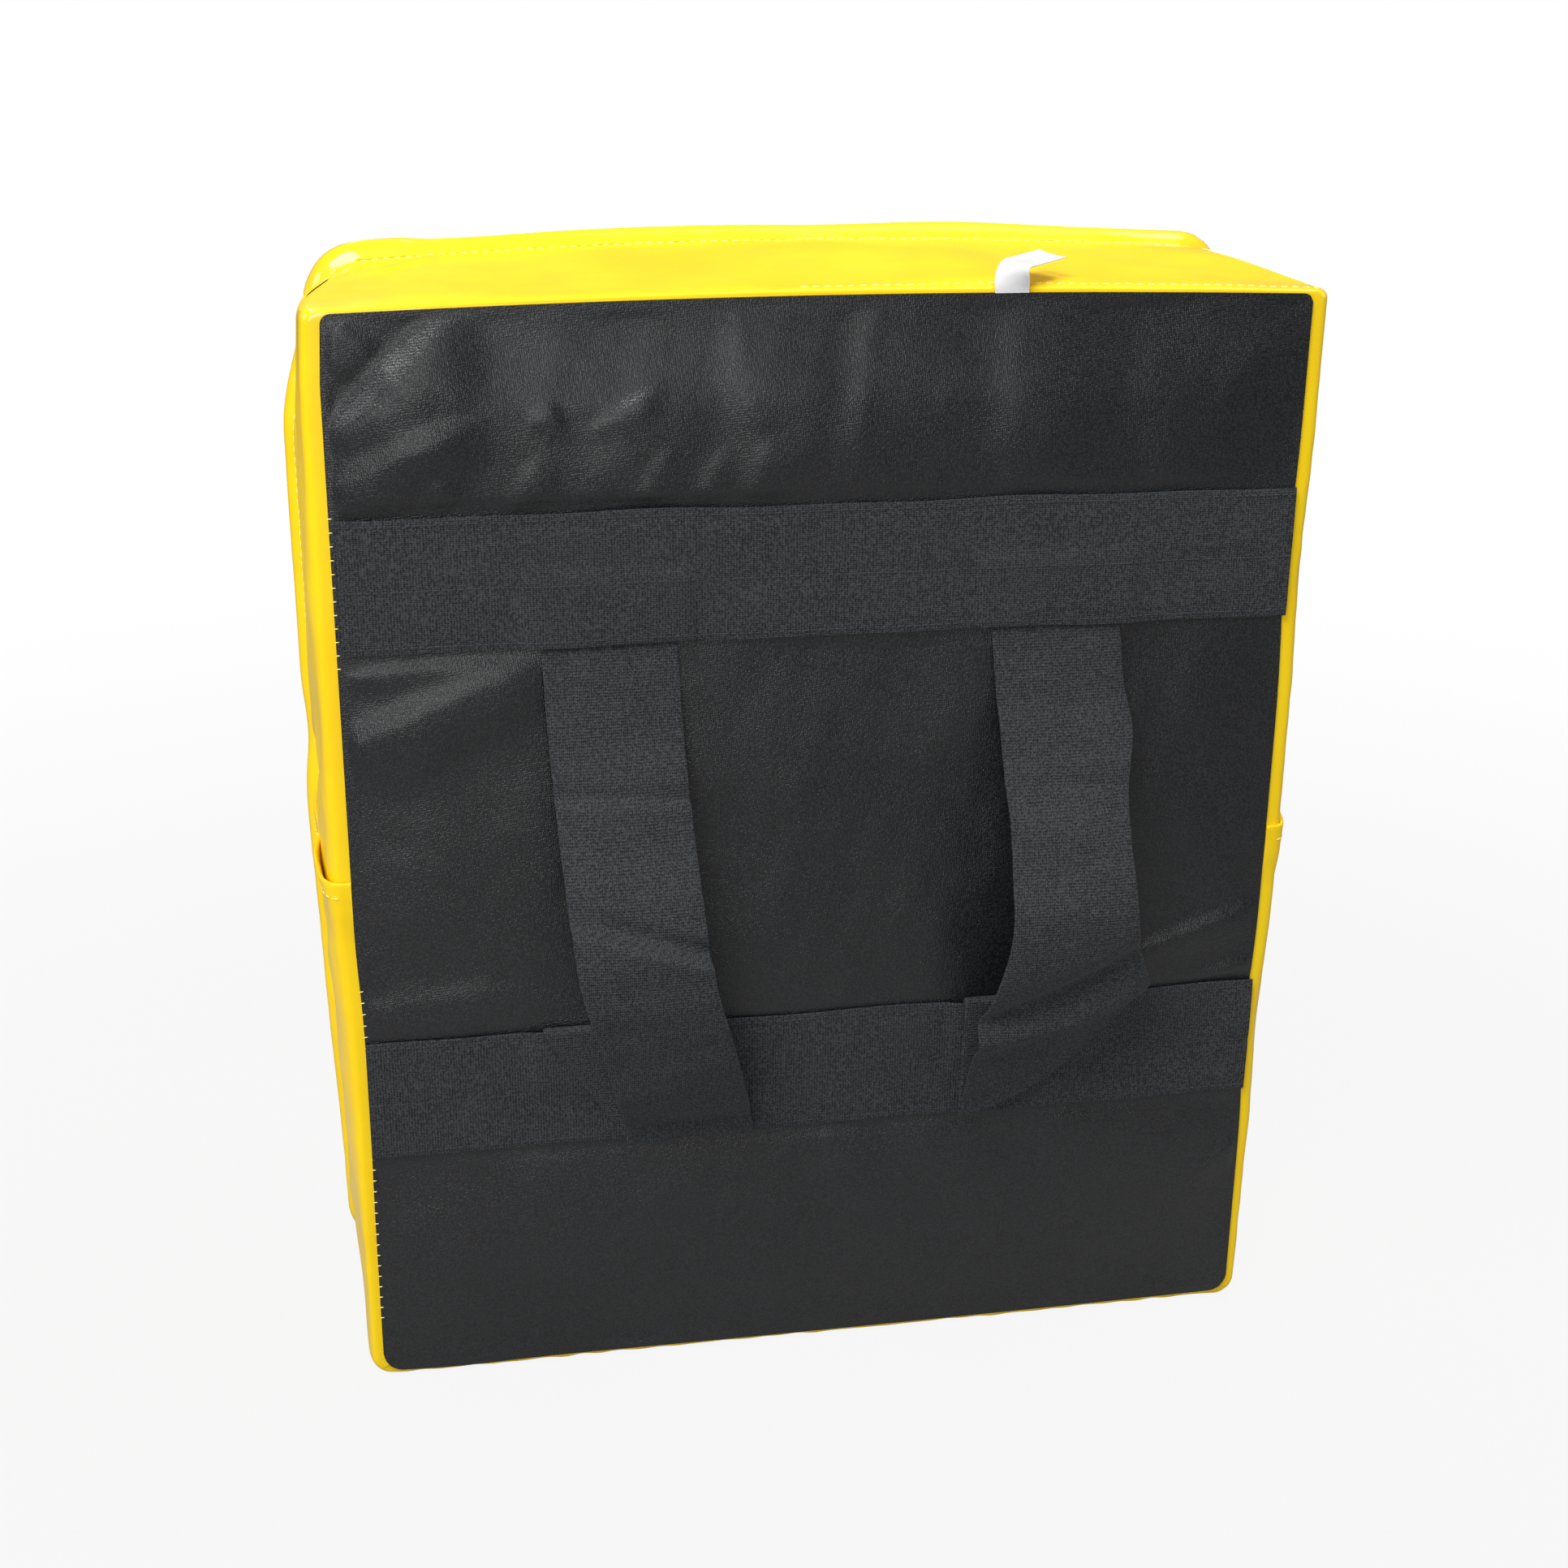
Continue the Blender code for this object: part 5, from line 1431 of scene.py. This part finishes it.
def make_floor():
    """A wide pale floor, almost white to the camera, with the object's shadow; clear when seen from below.

    It is left open under the object's bottom, so that the bottom is lit when it is looked at from below.
    """
    floor = bpy.data.meshes.new("floor")
    corners = []
    for left, right, front, back in ((-FLOOR_REACH, FLOOR_REACH, -FLOOR_REACH, FLOOR_REACH), FLOOR_OPENING):
        corners += [(left, front), (right, front), (right, back), (left, back)]
    sides = [(step, (step + 1) % 4, (step + 1) % 4 + 4, step + 4) for step in range(4)]
    floor.from_pydata([(x, y, FLOOR_HEIGHT) for x, y in corners], [], sides)
    shade = Shader("pale_floor")
    shade.set(Roughness=0.9, Specular_IOR_Level=0.1)
    shade.finish(shade.ramp(shade.noise(3, 2), (0.3, (0.25, 0.25, 0.25)), (0.7, (0.27, 0.27, 0.27))))
    far = shade.add("ShaderNodeVectorMath", operation="LENGTH")
    shade.join(shade.place, far.inputs[0])
    far = far.outputs["Value"]
    rays = shade.add("ShaderNodeLightPath").outputs
    seen = shade.math("MULTIPLY", rays["Is Camera Ray"], shade.eased(far, 0.45, 1.7, 0.90, 1.0))
    mirrored = shade.math("MULTIPLY", rays["Is Glossy Ray"], shade.eased(far, 0.35, 1.0, 0.28, 0.0))
    glow = shade.add("ShaderNodeEmission").outputs[0]
    above = shade.either(shade.math("MAXIMUM", seen, mirrored), shade.surface.outputs[0], glow)
    below = shade.add("ShaderNodeBsdfTransparent").outputs[0]
    both = shade.either(shade.add("ShaderNodeNewGeometry").outputs["Backfacing"], above, below)
    shade.join(both, shade.tree.nodes["Material Output"].inputs["Surface"])
    floor.materials.append(shade.material)
    add_object("floor", floor)


def make_world():
    """White where the camera sees it, and a dim even light on the object."""
    world = bpy.data.worlds.new("studio")
    bpy.context.scene.world = world
    world.use_nodes = True
    nodes, links = world.node_tree.nodes, world.node_tree.links
    path = nodes.new("ShaderNodeLightPath")
    strength = nodes.new("ShaderNodeMapRange")
    strength.inputs["To Min"].default_value = 0.20
    strength.inputs["To Max"].default_value = 1.0
    links.new(path.outputs["Is Camera Ray"], strength.inputs["Value"])
    background = nodes["Background"]
    background.inputs["Color"].default_value = (1, 1, 1, 1)
    links.new(strength.outputs["Result"], background.inputs["Strength"])


def area_light(name, place, aim, size, power):
    lamp = bpy.data.lights.new(name, "AREA")
    lamp.shape = "RECTANGLE"
    lamp.size, lamp.size_y = size
    lamp.energy = power
    holder = add_object(name, lamp)
    holder.location = place
    direction = Vector(aim) - Vector(place)
    holder.rotation_mode = "QUATERNION"
    holder.rotation_quaternion = direction.to_track_quat("-Z", "Y")


def make_stage():
    """The floor, the soft lights, and the camera at the photograph's angle."""
    make_floor()
    make_world()
    for name, place, aim, size, power in (
        ("key", (-0.90, -1.20, 2.20), (0, 0, 0.35), (1.0, 1.0), 41),
        ("left", (-2.00, -0.45, 1.10), (0, 0, 0.35), (0.9, 0.9), 14),
        ("front", (-0.60, -2.30, 0.66), (-0.1, 0, 0.45), (1.4, 0.5), 15),
        ("right", (1.90, -0.60, 1.10), (0, 0, 0.30), (1.0, 1.0), 8),
        ("top", (0.55, 0.20, 2.20), (0.05, 0, 0.60), (1.4, 1.0), 23),
        ("behind", (0.50, 2.30, 0.32), (0, 0, 0.30), (1.6, 0.5), 20),
        ("glint", (-0.60, 1.90, 2.00), (-0.22, 0.05, 0.60), (0.25, 0.25), 4),
    ):
        area_light(name, place, aim, size, power)

    lens = bpy.data.cameras.new("camera")
    lens.sensor_width = 36.0
    lens.lens = CAMERA_LENS
    lens.clip_start, lens.clip_end = 0.01, 60
    camera = add_object("camera", lens)
    forward = Vector(CAMERA_FORWARD).normalized()
    right = Vector(CAMERA_RIGHT)
    right = (right - forward * right.dot(forward)).normalized()
    turn = Matrix((right, right.cross(forward), -forward)).transposed().to_4x4()
    camera.matrix_world = Matrix.Translation(CAMERA_PLACE) @ turn
    bpy.context.scene.camera = camera
    bpy.context.scene.view_settings.view_transform = "Standard"


make_stage()

COVER = make_cover()
dress(COVER["top"][0], "shield", "yellow_vinyl", "top_gusset")
for side in ("left", "right"):
    dress(COVER[f"{side}_upper"][0], "shield", "yellow_vinyl", f"{side}_upper_gusset")
    dress(COVER[f"{side}_lower"][0], "shield", "yellow_vinyl", f"{side}_lower_gusset")
for strip in COVER.values():
    declare_cloth(strip[1])
BOTTOM = make_bottom()
for place in ("rear", "front"):
    dress(BOTTOM[place][0], "shield", "yellow_vinyl", f"bottom_{place}_gusset")
    declare_cloth(BOTTOM[place][1])
make_face()
make_back_panel()
make_foam()
make_seam()
stitch_cover(COVER, BOTTOM)
stitch_panel()

LEFT = Strap(
    "left", top_x=-0.1145, bottom_x=-0.1195, lean=0.039, leans=LEFT_LEANS,
    fold_up=0.1365, fold_half=WEBBING_WIDTH / 2, tilt=2, sag=(-0.004, -0.005),
)
RIGHT = Strap(
    "right", top_x=0.1220, bottom_x=0.1150, lean=0.005, leans=RIGHT_LEANS,
    fold_up=0.1725, fold_half=0.0570, tilt=34, sag=(0.0, 0.012),
)
make_band("upper_band", UPPER_BAND_BOTTOM, UPPER_BAND_BOTTOM, (LEFT.top_x, RIGHT.top_x), 3)
make_band("lower_band", LOWER_BAND_BOTTOM, LOWER_BAND_TOP - TAB_LENGTH, (LEFT.bottom_x, RIGHT.bottom_x), 5)
make_handle(LEFT, 401)
make_handle(RIGHT, 431)
make_label()
make_zip_tapes()

for node in ("zip_chain", "zip_stop_left", "zip_stop_right", "zip_slider", "zip_pull"):
    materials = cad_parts[node].data.materials
    materials.clear()
    materials.append(TEETH if node == "zip_chain" else METAL)
